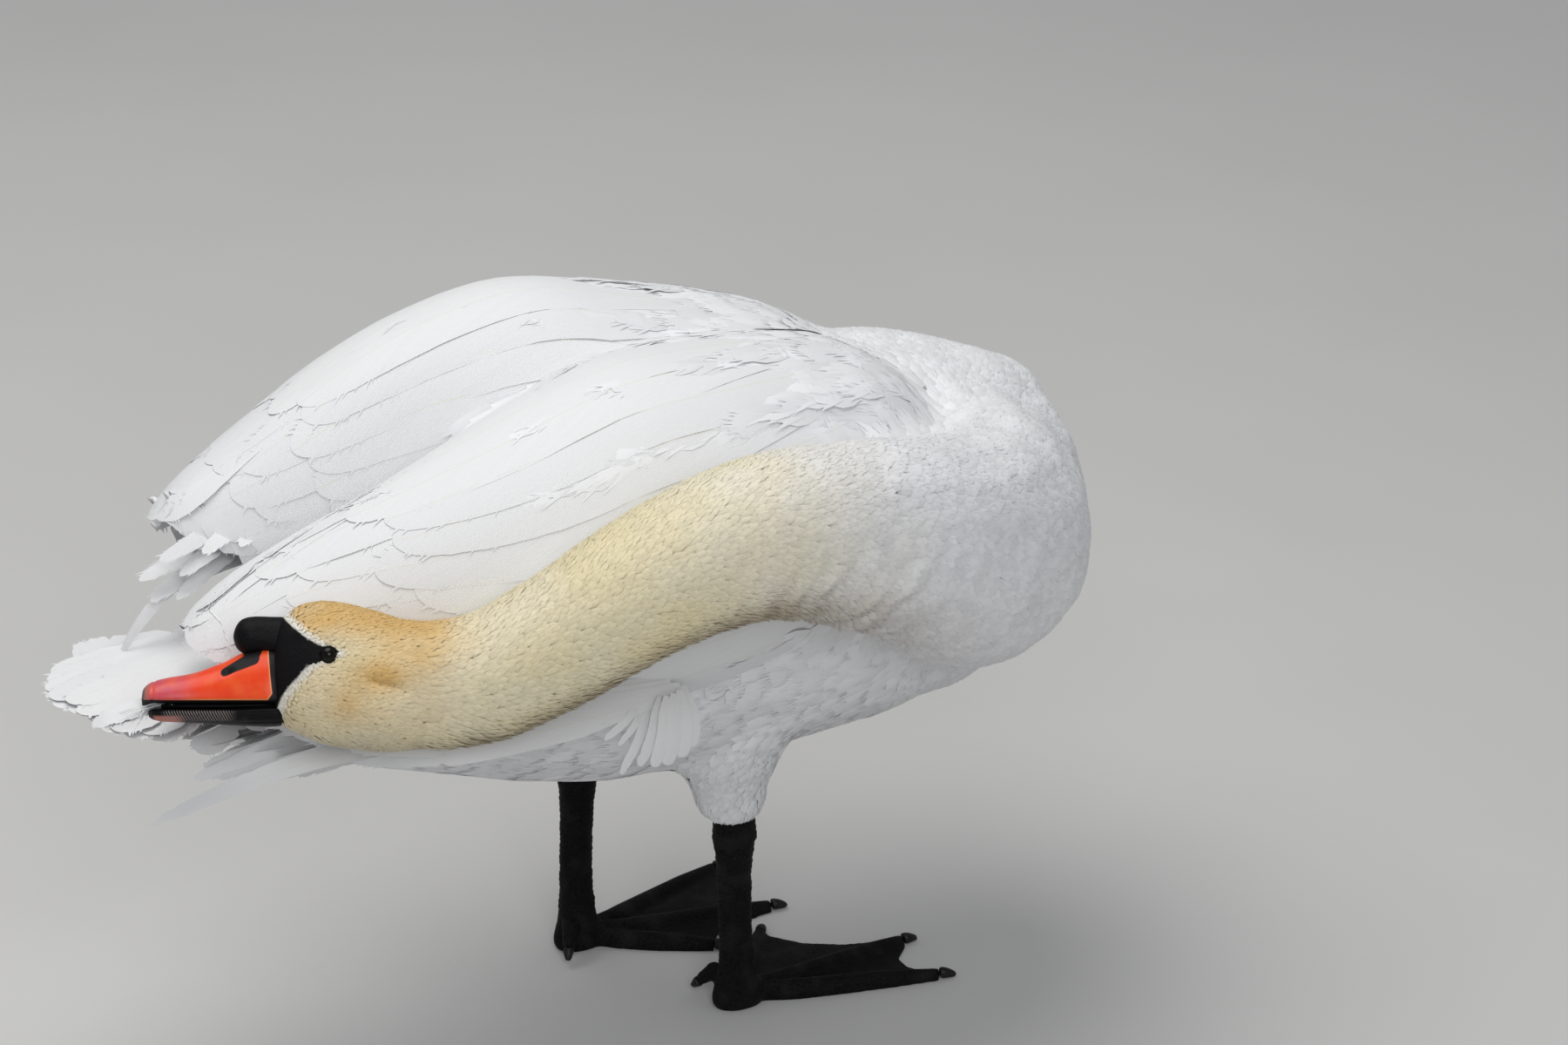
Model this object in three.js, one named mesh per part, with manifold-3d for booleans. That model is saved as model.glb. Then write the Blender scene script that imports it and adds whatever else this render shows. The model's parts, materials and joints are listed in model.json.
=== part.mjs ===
// A life-size mute swan (an adult male) that stands and preens: the neck turns back along its right
// side and the bill takes a feather of the tail. Millimetres, +X forward, +Y the swan's left, +Z up.
// The floor is z = 0, and the group is shifted at the end so that its box stands centred on the origin.
import * as THREE from "three";
import { ConvexGeometry } from "three/addons/geometries/ConvexGeometry.js";
import { mergeVertices } from "three/addons/utils/BufferGeometryUtils.js";
import Module from "manifold-3d";

const wasm = await Module();
wasm.setup();

// ---------------------------------------------------------------- driving sizes
const GAP = 0.4; // clearance between pieces that touch
const CUT = 0.4; // width of the thin cuts that part the body
const BODY_HALF_WIDTH = 158; // trunk without the wings
const BODY_MIDDLE = 344; // height of the trunk's axis
const WING_OUT = 118; // each wing's bulge beyond its own crest line
const WING_CREST = 66; // each wing's crest line from the middle plane
const TAIL_LENGTH = 181; // length of the middle tail feathers
const TAIL_TURN = 15; // degrees that the tail swings to the right
const HEAD_TURN = 28; // degrees between the bill and the body's own axis
const HEAD_TILT = 25; // degrees that the crown leans to the swan's left
const BILL_LENGTH = 88; // tip of the nail to the corner of the mouth
const EYE_RADIUS = 5.6;
const EYE_SPACING = 27.5; // each eye's centre from the head's middle plane
const FOOT_SPREAD = 66; // each foot's distance from the middle plane
const STRIDE = 32; // right foot ahead of the middle, left foot behind it
const ANKLE_HEIGHT = 146;
const MIDDLE_TOE = 150;
const TOE_RADIUS = 8.5;

const rad = THREE.MathUtils.degToRad;
const lerp = THREE.MathUtils.lerp;
const V = (x, y, z) => new THREE.Vector3(x, y, z);
const UP = V(0, 0, 1);
const SIDES = { right: -1, left: 1 };

// ---------------------------------------------------------------- colours
const paint = (color, roughness) => new THREE.MeshStandardMaterial({ color, roughness, metalness: 0 });
const WHITE = paint(0xf2f1ee, 0.85);
const QUILL = paint(0xece9df, 0.7);
const CREAM = paint(0xe6d3a0, 0.9);
const ORANGE = paint(0xe8481a, 0.45);
const BLACK = paint(0x141416, 0.55);
const SLATE = paint(0x26262b, 0.5);
const EYE_BROWN = paint(0x120c09, 0.08);

// ---------------------------------------------------------------- shape tools
// Smooth value of a named size between stations, by Catmull-Rom over the station index.
function sizeAt(stations, key, t) {
  const last = stations.length - 1;
  const i = Math.min(Math.floor(t), last - 1);
  const f = t - i;
  const at = (k) => stations[Math.max(0, Math.min(last, k))][key];
  const [a, b, c, d] = [at(i - 1), at(i), at(i + 1), at(i + 2)];
  const square = 2 * a - 5 * b + 4 * c - d;
  const cube = 3 * b - a - 3 * c + d;
  return 0.5 * (2 * b + (c - a) * f + square * f * f + cube * f ** 3);
}

// An oval ring: half width along right, up and down half heights along up.
function oval(centre, right, up, half, sides) {
  const ring = [];
  for (let k = 0; k < sides; k++) {
    const a = (2 * Math.PI * k) / sides;
    const high = Math.sin(a) > 0 ? half.up : half.down;
    const point = centre.clone().addScaledVector(right, Math.cos(a) * half.wide);
    ring.push(point.addScaledVector(up, Math.sin(a) * high));
  }
  return ring;
}

// A manifold-3d solid of a three.js geometry, turned the right way out.
function solid(geometry) {
  const bare = geometry.clone();
  bare.deleteAttribute("normal");
  bare.deleteAttribute("uv");
  const merged = mergeVertices(bare, 1e-3);
  const vertProperties = merged.attributes.position.array;
  const build = (triVerts) => new wasm.Manifold(new wasm.Mesh({ numProp: 3, vertProperties, triVerts }));
  const triVerts = new Uint32Array(merged.index.array);
  const body = build(triVerts);
  return body.volume() > 0 ? body : build(triVerts.map((_, i) => triVerts[i - (i % 3) + (2 - (i % 3))]));
}

function solidOf(points, faces) {
  const made = new THREE.BufferGeometry();
  made.setAttribute("position", new THREE.Float32BufferAttribute(points.flatMap((p) => p.toArray()), 3));
  made.setIndex(faces);
  return solid(made);
}

// A closed solid through rings of equal count, with a fan at each end.
function loft(rings) {
  const sides = rings[0].length;
  const middle = (ring) => ring.reduce((sum, p) => sum.add(p), V(0, 0, 0)).divideScalar(sides);
  const points = [...rings.flat(), middle(rings[0]), middle(rings.at(-1))];
  const first = points.length - 2;
  const end = (rings.length - 1) * sides;
  const faces = [];
  for (let k = 0; k < sides; k++) {
    const next = (k + 1) % sides;
    for (let r = 0; r < end; r += sides) {
      faces.push(r + k, r + next, r + next + sides);
      faces.push(r + k, r + next + sides, r + k + sides);
    }
    faces.push(first, next, k, first + 1, end + k, end + next);
  }
  return solidOf(points, faces);
}

// A closed solid between two grids of points, such as the two faces of a web or a folded wing.
function slab(top, bottom) {
  const [rows, cols] = [top.length, top[0].length];
  const points = [...top.flat(), ...bottom.flat()];
  const under = rows * cols;
  const faces = [];
  const quad = (a, b, c, d) => faces.push(a, b, c, a, c, d);
  for (let r = 0; r + 1 < rows; r++)
    for (let c = 0; c + 1 < cols; c++) {
      const k = r * cols + c;
      quad(k, k + 1, k + cols + 1, k + cols);
      quad(under + k + cols, under + k + cols + 1, under + k + 1, under + k);
    }
  const rim = [];
  for (let c = 0; c + 1 < cols; c++) rim.push(c);
  for (let r = 0; r + 1 < rows; r++) rim.push(r * cols + cols - 1);
  for (let c = cols - 1; c > 0; c--) rim.push((rows - 1) * cols + c);
  for (let r = rows - 1; r > 0; r--) rim.push(r * cols);
  rim.forEach((a, i) => {
    const b = rim[(i + 1) % rim.length];
    quad(b, a, under + a, under + b);
  });
  return solidOf(points, faces);
}

const join = (solids) => wasm.Manifold.union(solids);

// The largest body of a solid, so that a cut leaves no crumbs.
const mainBody = (made) => made.decompose().reduce((a, b) => (b.volume() > a.volume() ? b : a));

// A closed solid through rings that may fan round a tight bend: the hulls of each three neighbours, joined.
const chain = (rings) =>
  join(rings.slice(2).map((ring, i) => solid(new ConvexGeometry([...rings[i], ...rings[i + 1], ...ring]))));

// Rings along stations {x, y, z, wide, up, down} from index t0 to t1, square to the line.
// grow thickens them all round, and dome closes an end with a low rounded cap.
function ringsAlong(stations, options) {
  const last = stations.length - 1;
  const { t0 = 0, t1 = last, count, sides, grow = 0, dome = [false, false] } = options;
  const place = (t) => V(sizeAt(stations, "x", t), sizeAt(stations, "y", t), sizeAt(stations, "z", t));
  const ringAt = (t, shrink, push) => {
    const ahead = place(Math.min(last, t + 0.01)).sub(place(Math.max(0, t - 0.01))).normalize();
    const right = new THREE.Vector3().crossVectors(ahead, UP).normalize();
    const up = new THREE.Vector3().crossVectors(right, ahead).normalize();
    const size = (key) => (sizeAt(stations, key, t) + grow) * shrink;
    const half = { wide: size("wide"), up: size("up"), down: size("down") };
    return oval(place(t).addScaledVector(ahead, push), right, up, half, sides);
  };
  const cap = (t, way, steps) => {
    const depth = Math.min(sizeAt(stations, "wide", t), sizeAt(stations, "up", t)) * 0.38 + grow;
    return steps.map((s) => ringAt(t, s, way * depth * Math.sqrt(1 - s * s)));
  };
  const rings = dome[0] ? cap(t0, -1, [0.35, 0.75, 0.94]) : [];
  for (let i = 0; i <= count; i++) rings.push(ringAt(lerp(t0, t1, i / count), 1, 0));
  return dome[1] ? [...rings, ...cap(t1, 1, [0.94, 0.75, 0.35])] : rings;
}

// One long feather: a blade with a low ridge, from its root through its middle to its tip.
// face is the way its upper side looks, and the tip is blunt where blunt is near 1.
function blade({ root, middle, tip, wide, face, thick = 2.4, blunt = 0.6, steps = 6, grow = 0 }) {
  const line = new THREE.QuadraticBezierCurve3(root, middle, tip);
  const rings = [];
  for (let i = 0; i <= steps; i++) {
    const t = i / steps;
    const ahead = line.getTangent(t);
    const across = new THREE.Vector3().crossVectors(ahead, face).normalize();
    const out = new THREE.Vector3().crossVectors(across, ahead).normalize();
    const rise = lerp(0.5, 1, Math.min(1, t * 2.5));
    const end = Math.sqrt(Math.max(0, 1 - ((t - blunt) / (1 - blunt)) ** 2 * (t > blunt ? 1 : 0)));
    const half = Math.max(1.2, (wide / 2) * rise * end) + grow;
    const deep = thick * (0.35 + 0.65 * (1 - t));
    const centre = line.getPoint(t).addScaledVector(ahead, (2 * t - 1) * grow);
    rings.push([
      centre.clone().addScaledVector(across, -half),
      centre.clone().addScaledVector(out, deep + grow),
      centre.clone().addScaledVector(across, half),
      centre.clone().addScaledVector(out, -Math.max(0.5, deep * 0.5) - grow),
    ]);
  }
  return loft(rings);
}

// ---------------------------------------------------------------- trunk
const trunkStations = [
  { x: -320, y: -6, z: 322, wide: 66, up: 34, down: 52 },
  { x: -270, y: 0, z: 324, wide: 92, up: 54, down: 74 },
  { x: -190, y: 0, z: 334, wide: 122, up: 84, down: 115 },
  { x: -95, y: 0, z: BODY_MIDDLE - 2, wide: 148, up: 122, down: 148 },
  { x: 10, y: 0, z: BODY_MIDDLE, wide: BODY_HALF_WIDTH, up: 140, down: 155 },
  { x: 105, y: 0, z: BODY_MIDDLE, wide: BODY_HALF_WIDTH, up: 134, down: 152 },
  { x: 190, y: 0, z: BODY_MIDDLE - 4, wide: 148, up: 127, down: 143 },
  { x: 250, y: 0, z: BODY_MIDDLE - 4, wide: 128, up: 112, down: 120 },
  { x: 293, y: 0, z: BODY_MIDDLE - 3, wide: 100, up: 91, down: 80 },
];

const RUMP = -285; // where the tail's base is parted from the trunk

// ---------------------------------------------------------------- neck
// From inside the breast, round the front to the right side, back along the wing, to the head.
const neckStations = [
  { x: 150, y: 10, z: 345, wide: 118, up: 112, down: 116 },
  { x: 200, y: -45, z: 350, wide: 104, up: 104, down: 106 },
  { x: 196, y: -112, z: 362, wide: 90, up: 92, down: 98 },
  { x: 140, y: -172, z: 392, wide: 72, up: 76, down: 84 },
  { x: 61, y: -212, z: 433, wide: 58, up: 64, down: 68 },
  { x: -30, y: -228, z: 457, wide: 52, up: 55, down: 57 },
  { x: -108, y: -226, z: 441, wide: 47, up: 49, down: 49 },
  { x: -172, y: -212, z: 406, wide: 44, up: 45, down: 45 },
  { x: -225, y: -196, z: 383, wide: 43, up: 43, down: 45 },
  { x: -268, y: -180, z: 381, wide: 42, up: 45, down: 46 },
];
const NECK_SIDES = 16;
const NECK_PARTS = { root: [0, 2.6], base: [2.6, 4.4], middle: [4.4, 6.6], upper: [6.6, 9] };

// One length of the neck; trim shortens it at both ends, and grow thickens it.
function neckLength([t0, t1], grow = 0) {
  const shorten = grow > 0 ? -0.006 : 0.002;
  const count = Math.round((t1 - t0) * 3);
  const ends = { t0: Math.max(0, t0 + shorten), t1: Math.min(9, t1 - shorten) };
  const span = { ...ends, count, sides: NECK_SIDES, grow };
  return (t0 === 0 ? chain : loft)(ringsAlong(neckStations, span));
}

// ---------------------------------------------------------------- head
const HEAD_PLACE = V(-311, -158, 391.6);
const headForward = V(-Math.cos(rad(HEAD_TURN)), Math.sin(rad(HEAD_TURN)), 0);
const headUp = new THREE.Vector3()
  .addScaledVector(V(Math.sin(rad(HEAD_TURN)), Math.cos(rad(HEAD_TURN)), 0), Math.sin(rad(HEAD_TILT)))
  .addScaledVector(UP, Math.cos(rad(HEAD_TILT)));
const headLeft = new THREE.Vector3().crossVectors(headUp, headForward);
const onHead = (forward, left, up) => {
  const point = HEAD_PLACE.clone().addScaledVector(headForward, forward);
  return point.addScaledVector(headLeft, left).addScaledVector(headUp, up);
};

const HEAD_REAR = -58; // forward place of the cut between head and neck
const behindHead = (made, gap) =>
  made.trimByPlane(headForward.clone().negate().toArray(), gap - headForward.dot(onHead(HEAD_REAR, 0, 0)));

// Stations of the head and bill: forward of the eyes, height of the ring's middle, and half sizes.
const headStations = [
  { f: HEAD_REAR, z: -11, wide: 42, up: 46, down: 45 },
  { f: -40, z: -12, wide: 38, up: 50, down: 43 },
  { f: -20, z: -13, wide: 36, up: 56, down: 40 },
  { f: 0, z: -13, wide: 34, up: 61, down: 37.5 },
  { f: 12, z: -12, wide: 32, up: 60, down: 35 },
  { f: 22, z: -10, wide: 28, up: 55, down: 32 },
  { f: 31, z: -8, wide: 24, up: 48, down: 31 },
  { f: 37, z: -6, wide: 20.5, up: 38, down: 31 },
];
const FACE = 37; // forward place of the flat where the bill starts

function headRings(stations, { t0 = 0, count, sides, grow = 0 }) {
  const rings = [];
  for (let i = 0; i <= count; i++) {
    const t = lerp(t0, stations.length - 1, i / count);
    const size = (key) => sizeAt(stations, key, t) + grow;
    const end = i === 0 ? -grow : i === count ? grow : 0;
    const centre = onHead(sizeAt(stations, "f", t) + end, 0, sizeAt(stations, "z", t));
    const half = { wide: size("wide"), up: size("up"), down: size("down") };
    rings.push(oval(centre, headLeft, headUp, half, sides));
  }
  return rings;
}

const ball = (centre, radius, segments) => {
  const made = new THREE.SphereGeometry(radius, segments, Math.round(segments * 0.7));
  made.translate(centre.x, centre.y, centre.z);
  return solid(made);
};

const eyePlace = (side) => onHead(0.2, EYE_SPACING * side, 11.1);
const eyeBall = (side, grow = 0) => ball(eyePlace(side), EYE_RADIUS + grow, 10);
const headWhole = (grow = 0) => loft(headRings(headStations, { count: 8, sides: 16, grow }));

// ---------------------------------------------------------------- bill
const MOUTH = FACE + 3;
const TIP = MOUTH + BILL_LENGTH - 3;
const NAIL_LENGTH = 7;
const along = (f) => lerp(MOUTH, TIP, f);
const upperStations = [
  { f: FACE + GAP, z: -17, wide: 19.5, up: 34, down: 2.5 },
  { f: along(0.16), z: -17, wide: 18.6, up: 31, down: 2.5 },
  { f: along(0.38), z: -17, wide: 17.4, up: 22, down: 2.5 },
  { f: along(0.6), z: -17, wide: 17, up: 15.5, down: 2.5 },
  { f: along(0.8), z: -17, wide: 17.4, up: 12.2, down: 2.5 },
  { f: along(0.92), z: -17, wide: 15.5, up: 9.6, down: 3 },
  { f: along(0.985), z: -18, wide: 9.5, up: 6.5, down: 4.5 },
  { f: TIP, z: -19, wide: 4, up: 2.5, down: 4 },
];
const lowerStations = [
  { f: FACE + GAP, z: -26, wide: 17.5, up: 5.5, down: 11 },
  { f: along(0.3), z: -27, wide: 15.8, up: 3.2, down: 9 },
  { f: along(0.6), z: -27, wide: 15, up: 2.4, down: 7.4 },
  { f: along(0.82), z: -27, wide: 14.6, up: 2.2, down: 6.6 },
  { f: along(0.9), z: -27, wide: 12, up: 2, down: 5.6 },
  { f: along(0.945), z: -27.4, wide: 6, up: 1.4, down: 3.4 },
];
const KNOB_RADIUS = 12.8;
const knobPlace = onHead(FACE + 15.4, 0, 22.5);
const knobBall = (grow = 0) =>
  join([
    ball(knobPlace, KNOB_RADIUS + grow, 10),
    loft(
      headRings(
        [
          { f: FACE + 0.6, z: 18, wide: 10.5, up: 14.5, down: 6 },
          { f: FACE + 15, z: 21, wide: 11, up: 12.6, down: 9 },
        ],
        { count: 2, sides: 10, grow },
      ),
    ),
  ]);

// ---------------------------------------------------------------- wings
// A folded wing is a vault over the back. At each x its section is part of an oval round (crest, middle):
// out and in are its half widths away from and towards the middle plane, rise its height over the middle.
// It runs from the angle inner (towards the middle plane) to lower (down the flank), 0 at the crest.
const wingStations = {
  right: [
    { x: 182, y: 54, z: 396, out: 76, in: 90, rise: 60, inner: -50, lower: 80, thick: 30 },
    { x: 150, y: 58, z: 398, out: 92, in: 120, rise: 88, inner: -60, lower: 92, thick: 50 },
    { x: 100, y: 62, z: 398, out: 112, in: 140, rise: 110, inner: -75, lower: 108, thick: 60 },
    { x: 20, y: WING_CREST, z: 398, out: WING_OUT, in: 140, rise: 122, inner: -80, lower: 124, thick: 60 },
    { x: -65, y: WING_CREST, z: 396, out: WING_OUT, in: 110, rise: 126, inner: -80, lower: 130, thick: 52 },
    { x: -150, y: WING_CREST, z: 388, out: 108, in: 74, rise: 108, inner: -80, lower: 130, thick: 48 },
    { x: -215, y: 65, z: 382, out: 92, in: 56, rise: 90, inner: -80, lower: 122, thick: 44 },
    { x: -280, y: 63, z: 378, out: 74, in: 46, rise: 70, inner: -80, lower: 112, thick: 30 },
    { x: -335, y: 60, z: 372, out: 58, in: 36, rise: 50, inner: -80, lower: 104, thick: 15 },
    { x: -360, y: 58, z: 368, out: 48, in: 28, rise: 38, inner: -78, lower: 96, thick: 7 },
  ],
  left: [
    { x: 182, y: 54, z: 396, out: 76, in: 90, rise: 54, inner: -50, lower: 80, thick: 30 },
    { x: 150, y: 58, z: 398, out: 92, in: 120, rise: 74, inner: -60, lower: 92, thick: 50 },
    { x: 100, y: 62, z: 398, out: 112, in: 140, rise: 99, inner: -75, lower: 108, thick: 60 },
    { x: 20, y: WING_CREST, z: 398, out: WING_OUT, in: 140, rise: 120, inner: -80, lower: 124, thick: 60 },
    { x: -65, y: 70, z: 398, out: WING_OUT, in: 114, rise: 137, inner: -80, lower: 130, thick: 52 },
    { x: -150, y: 74, z: 396, out: 108, in: 82, rise: 122, inner: -80, lower: 130, thick: 50 },
    { x: -212, y: 76, z: 392, out: 92, in: 66, rise: 99, inner: -80, lower: 122, thick: 50 },
    { x: -268, y: 76, z: 386, out: 76, in: 56, rise: 74, inner: -80, lower: 112, thick: 34 },
    { x: -304, y: 76, z: 382, out: 62, in: 44, rise: 58, inner: -78, lower: 104, thick: 18 },
    { x: -324, y: 74, z: 378, out: 52, in: 34, rise: 49, inner: -74, lower: 96, thick: 8 },
  ],
};
const WING_ROWS = 11;
const WING_COLUMNS = 7;
const WING_PARTING = -175; // x of the cut between the shoulder's coverts and the long tertials

// A point of the vault at station index t and share s from the inner edge to the lower edge.
function vault(name, t, s, inset = 0) {
  const stations = wingStations[name];
  const at = (key) => sizeAt(stations, key, t);
  const angle = rad(lerp(at("inner"), at("lower"), s));
  const radius = (key) => Math.max(4, at(key) - inset);
  const across = Math.sin(angle) * (angle > 0 ? radius("out") : radius("in"));
  return V(at("x"), SIDES[name] * (at("y") + across), at("z") + Math.cos(angle) * radius("rise"));
}

// The vault as a shell; grow thickens it all round, for what must stay clear of it.
function wingVault(name, grow = 0) {
  const stations = wingStations[name];
  const grid = (deep) => {
    const rows = [];
    for (let r = 0; r <= WING_ROWS; r++) {
      const t = ((stations.length - 1) * r) / WING_ROWS;
      const push = grow * (r === WING_ROWS ? -1 : r === 0 ? 1 : 0);
      const row = [];
      for (let c = 0; c <= WING_COLUMNS; c++) {
        const share = c / WING_COLUMNS;
        const edge = Math.sin(Math.PI * share) ** 0.4;
        const s = lerp(-0.02 * grow, 1 + 0.02 * grow, share);
        const inset = deep ? 3 + (sizeAt(stations, "thick", t) - 3) * edge + grow : -grow;
        row.push(vault(name, t, s, inset).add(V(push, 0, 0)));
      }
      rows.push(row);
    }
    return rows;
  };
  return slab(grid(false), grid(true));
}

// ---------------------------------------------------------------- tail
const tailBaseStations = [
  { x: RUMP + 12, y: 0, z: 324, wide: 90, up: 60, down: 74 },
  { x: -322, y: -8, z: 328, wide: 70, up: 34, down: 56 },
  { x: -358, y: -17, z: 334, wide: 58, up: 19, down: 45 },
  { x: -395, y: -27, z: 340, wide: 42, up: 8, down: 28 },
];
const TAIL_FEATHERS = 9;
const TAIL_SPREAD = 37;
const tailRoot = V(-285, -2, 344);

function tailFan() {
  const blades = [];
  for (let i = 0; i < TAIL_FEATHERS; i++) {
    const place = i / (TAIL_FEATHERS - 1) - 0.5;
    const angle = rad(TAIL_TURN + place * TAIL_SPREAD);
    const ahead = V(-Math.cos(angle), -Math.sin(angle), 0.04);
    const length = TAIL_LENGTH * (1 - 0.5 * place * place);
    const root = tailRoot.clone().add(V(0, -place * 24, -Math.abs(place) * 7));
    const tip = root.clone().addScaledVector(ahead, length).add(V(0, 0, -Math.abs(place) * 10));
    const middle = root.clone().lerp(tip, 0.5).add(V(0, 0, 5));
    blades.push(blade({ root, middle, tip, wide: 38, face: UP, thick: 2.6, blunt: 0.72, steps: 4 }));
  }
  return join(blades);
}

// ---------------------------------------------------------------- flight feathers
const fan = (count, make) => join(Array.from({ length: count }, (_, i) => make(i / (count - 1))));
const between = (a, b, f) => a.clone().lerp(b, f);

// The tertials' tips reach out behind the vault's rear edge.
function tertialTips(name, grow = 0) {
  const t = wingStations[name].length - 1;
  return fan(5, (f) => {
    const s = lerp(0.1, 0.9, f);
    const edge = vault(name, t, s, 3);
    const tip = edge.clone().add(V(-15 * (1 - Math.abs(f - 0.45)), 0, -7));
    const face = edge.clone().sub(V(edge.x + 8, SIDES[name] * 62, 350)).normalize();
    const [root, middle] = [vault(name, t - 0.9, s, 3), vault(name, t - 0.3, s, 1.5)];
    return blade({ root, middle, tip, wide: 34, face, thick: 3, blunt: 0.6, steps: 3, grow });
  });
}

// The right wing's hand hangs a little out of the flank, and its outermost feather droops behind.
const rightPrimaries = () =>
  join([
    fan(3, (f) =>
      blade({
        root: between(V(-72, -170, 320), V(-95, -166, 338), f),
        middle: between(V(-215, -192, 330), V(-225, -182, 352), f),
        tip: between(V(-352, -118, 318), V(-350, -112, 344), f),
        wide: 28,
        face: V(0.1, -0.9, 0.3),
        thick: 3.2,
        steps: 4,
      }),
    ),
    blade({
      root: V(-205, -166, 328),
      middle: V(-320, -146, 322),
      tip: V(-417, -90, 271),
      wide: 25,
      face: V(-0.3, -0.75, 0.6),
      thick: 3,
      blunt: 0.55,
      steps: 4,
    }),
  ]);

// The left wing's hand runs along the flank, and its tips cross the rump under the tertials.
const leftPrimaries = () =>
  join([
    fan(4, (f) =>
      blade({
        root: between(V(-40, 160, 318), V(-70, 160, 348), f),
        middle: between(V(-250, 152, 338), V(-240, 148, 370), f),
        tip: between(V(-380, 24, 390), V(-350, 14, 414), f),
        wide: 32,
        face: V(-0.1, 0.7, 0.6),
        thick: 3,
        blunt: 0.75,
        steps: 4,
      }),
    ),
    blade({
      root: V(-120, 150, 330),
      middle: V(-280, 128, 346),
      tip: V(-391, 21, 347),
      wide: 16,
      face: V(-0.2, 0.6, 0.7),
      thick: 2.6,
      blunt: 0.4,
      steps: 4,
    }),
  ]);

// The short feathers of the thumb, which droop from the wrist.
const alula = (name, grow = 0) =>
  fan(3, (f) =>
    blade({
      root: V(-70 - 10 * f, SIDES[name] * 166, 318 - 3 * f),
      middle: V(-74 - 14 * f, SIDES[name] * 189, 302),
      tip: V(-64 - 44 * f, SIDES[name] * (184 - 2 * f), 288 - 6 * Math.sin(Math.PI * f) - 7 * f),
      wide: 20,
      face: V(0.1, SIDES[name], 0.2),
      thick: 2.6,
      blunt: 0.7,
      steps: 4,
      grow,
    }),
  );

// ---------------------------------------------------------------- legs
const footPlace = (name) => V(2 - SIDES[name] * STRIDE, SIDES[name] * FOOT_SPREAD, 0);
const THIGH_END = 158;
const SHANK_END = 22;

// An upright limb through stations {x, y, z, wide, front, back}, from the top down.
function column(stations, count, sides, grow = 0) {
  const rings = Array.from({ length: count + 1 }, (_, i) => {
    const size = (key) => sizeAt(stations, key, ((stations.length - 1) * i) / count);
    const half = { wide: size("wide") + grow, up: size("front") + grow, down: size("back") + grow };
    return oval(V(size("x"), size("y"), size("z")), V(0, 1, 0), V(1, 0, 0), half, sides);
  });
  return loft(rings);
}

const ankleLean = { right: -5, left: 5 }; // how far the ankle stands ahead of the heel

function thigh(name) {
  const x = footPlace(name).x + ankleLean[name];
  const s = SIDES[name];
  return column(
    [
      { x: x - 4, y: s * 84, z: 262, wide: 46, front: 48, back: 56 },
      { x: x - 5, y: s * 80, z: 222, wide: 38, front: 40, back: 46 },
      { x: x - 4, y: s * 75, z: 190, wide: 27, front: 28, back: 31 },
      { x, y: s * 72, z: THIGH_END, wide: 19, front: 21, back: 21 },
    ],
    5,
    16,
  );
}

function shank(name, grow = 0) {
  const x = footPlace(name).x;
  const lean = ankleLean[name];
  const s = SIDES[name];
  return column(
    [
      { x: x + lean, y: s * 72, z: THIGH_END - CUT, wide: 11, front: 14, back: 14 },
      { x: x + lean, y: s * 72, z: ANKLE_HEIGHT - 2, wide: 12.5, front: 19, back: 16 },
      { x: x + lean * 0.8, y: s * 71, z: 122, wide: 10.5, front: 14, back: 13 },
      { x: x + lean * 0.4, y: s * 69, z: 80, wide: 9.5, front: 12.5, back: 13 },
      { x: x + lean * 0.1, y: s * 67.5, z: 44, wide: 10, front: 13.5, back: 13 },
      { x, y: s * FOOT_SPREAD, z: SHANK_END + CUT, wide: 11.5, front: 16, back: 15 },
    ],
    9,
    12,
    grow,
  );
}

// Each toe, from the swan's left to its right: degrees from straight ahead, and its share of the middle toe.
const toes = {
  right: { inner: [52, 0.66], middle: [7, 1], outer: [-14.5, 1.02] },
  left: { outer: [20, 1], middle: [-8, 1.02], inner: [-32, 0.68] },
};
const FOOT_ROWS = 4;
const WEB_THICK = 3;

const toeAhead = (angle) => V(Math.cos(rad(angle)), Math.sin(rad(angle)), 0);
const toeRadius = (f) => TOE_RADIUS * lerp(1.15, 0.6, f) * (1 + 0.08 * Math.cos(5 * Math.PI * f));

// Half the width of a toe at a reach, no more than the room that its neighbours leave near the heel.
function toeHalfWidth(set, i, reach, f) {
  const gaps = set.map(([angle], k) => (k === i ? Infinity : Math.abs(angle - set[i][0])));
  return Math.min(toeRadius(f), 0.42 * rad(Math.min(...gaps)) * reach);
}

// One row of the foot's top: over each toe a low roof, and between the toes the web,
// whose front edge is drawn back.
function footRow(name, f) {
  const set = Object.values(toes[name]);
  const row = [];
  const toePoint = (i, across, height) => {
    const [angle, share] = set[i];
    const reach = lerp(10, MIDDLE_TOE * share, f);
    const ahead = toeAhead(angle);
    const half = toeHalfWidth(set, i, reach, f);
    const at = footPlace(name).addScaledVector(ahead, reach);
    return at.addScaledVector(V(ahead.y, -ahead.x, 0), across * half).setZ(height);
  };
  set.forEach((one, i) => {
    const high = 1.75 * toeRadius(f);
    for (const [across, share] of [[-1, 0.3], [-0.62, 0.82], [0, 1], [0.62, 0.82], [1, 0.3]])
      row.push(toePoint(i, across, Math.max(WEB_THICK, high * share)));
    if (i + 1 === set.length) return;
    for (const across of [1 / 3, 2 / 3]) {
      const edge = toePoint(i, 1, WEB_THICK).lerp(toePoint(i + 1, -1, WEB_THICK), across);
      const drawn = 1 - 0.1 * f * f;
      row.push(edge.sub(footPlace(name)).multiply(V(drawn, drawn, 1)).add(footPlace(name)));
    }
  });
  return row;
}

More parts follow.
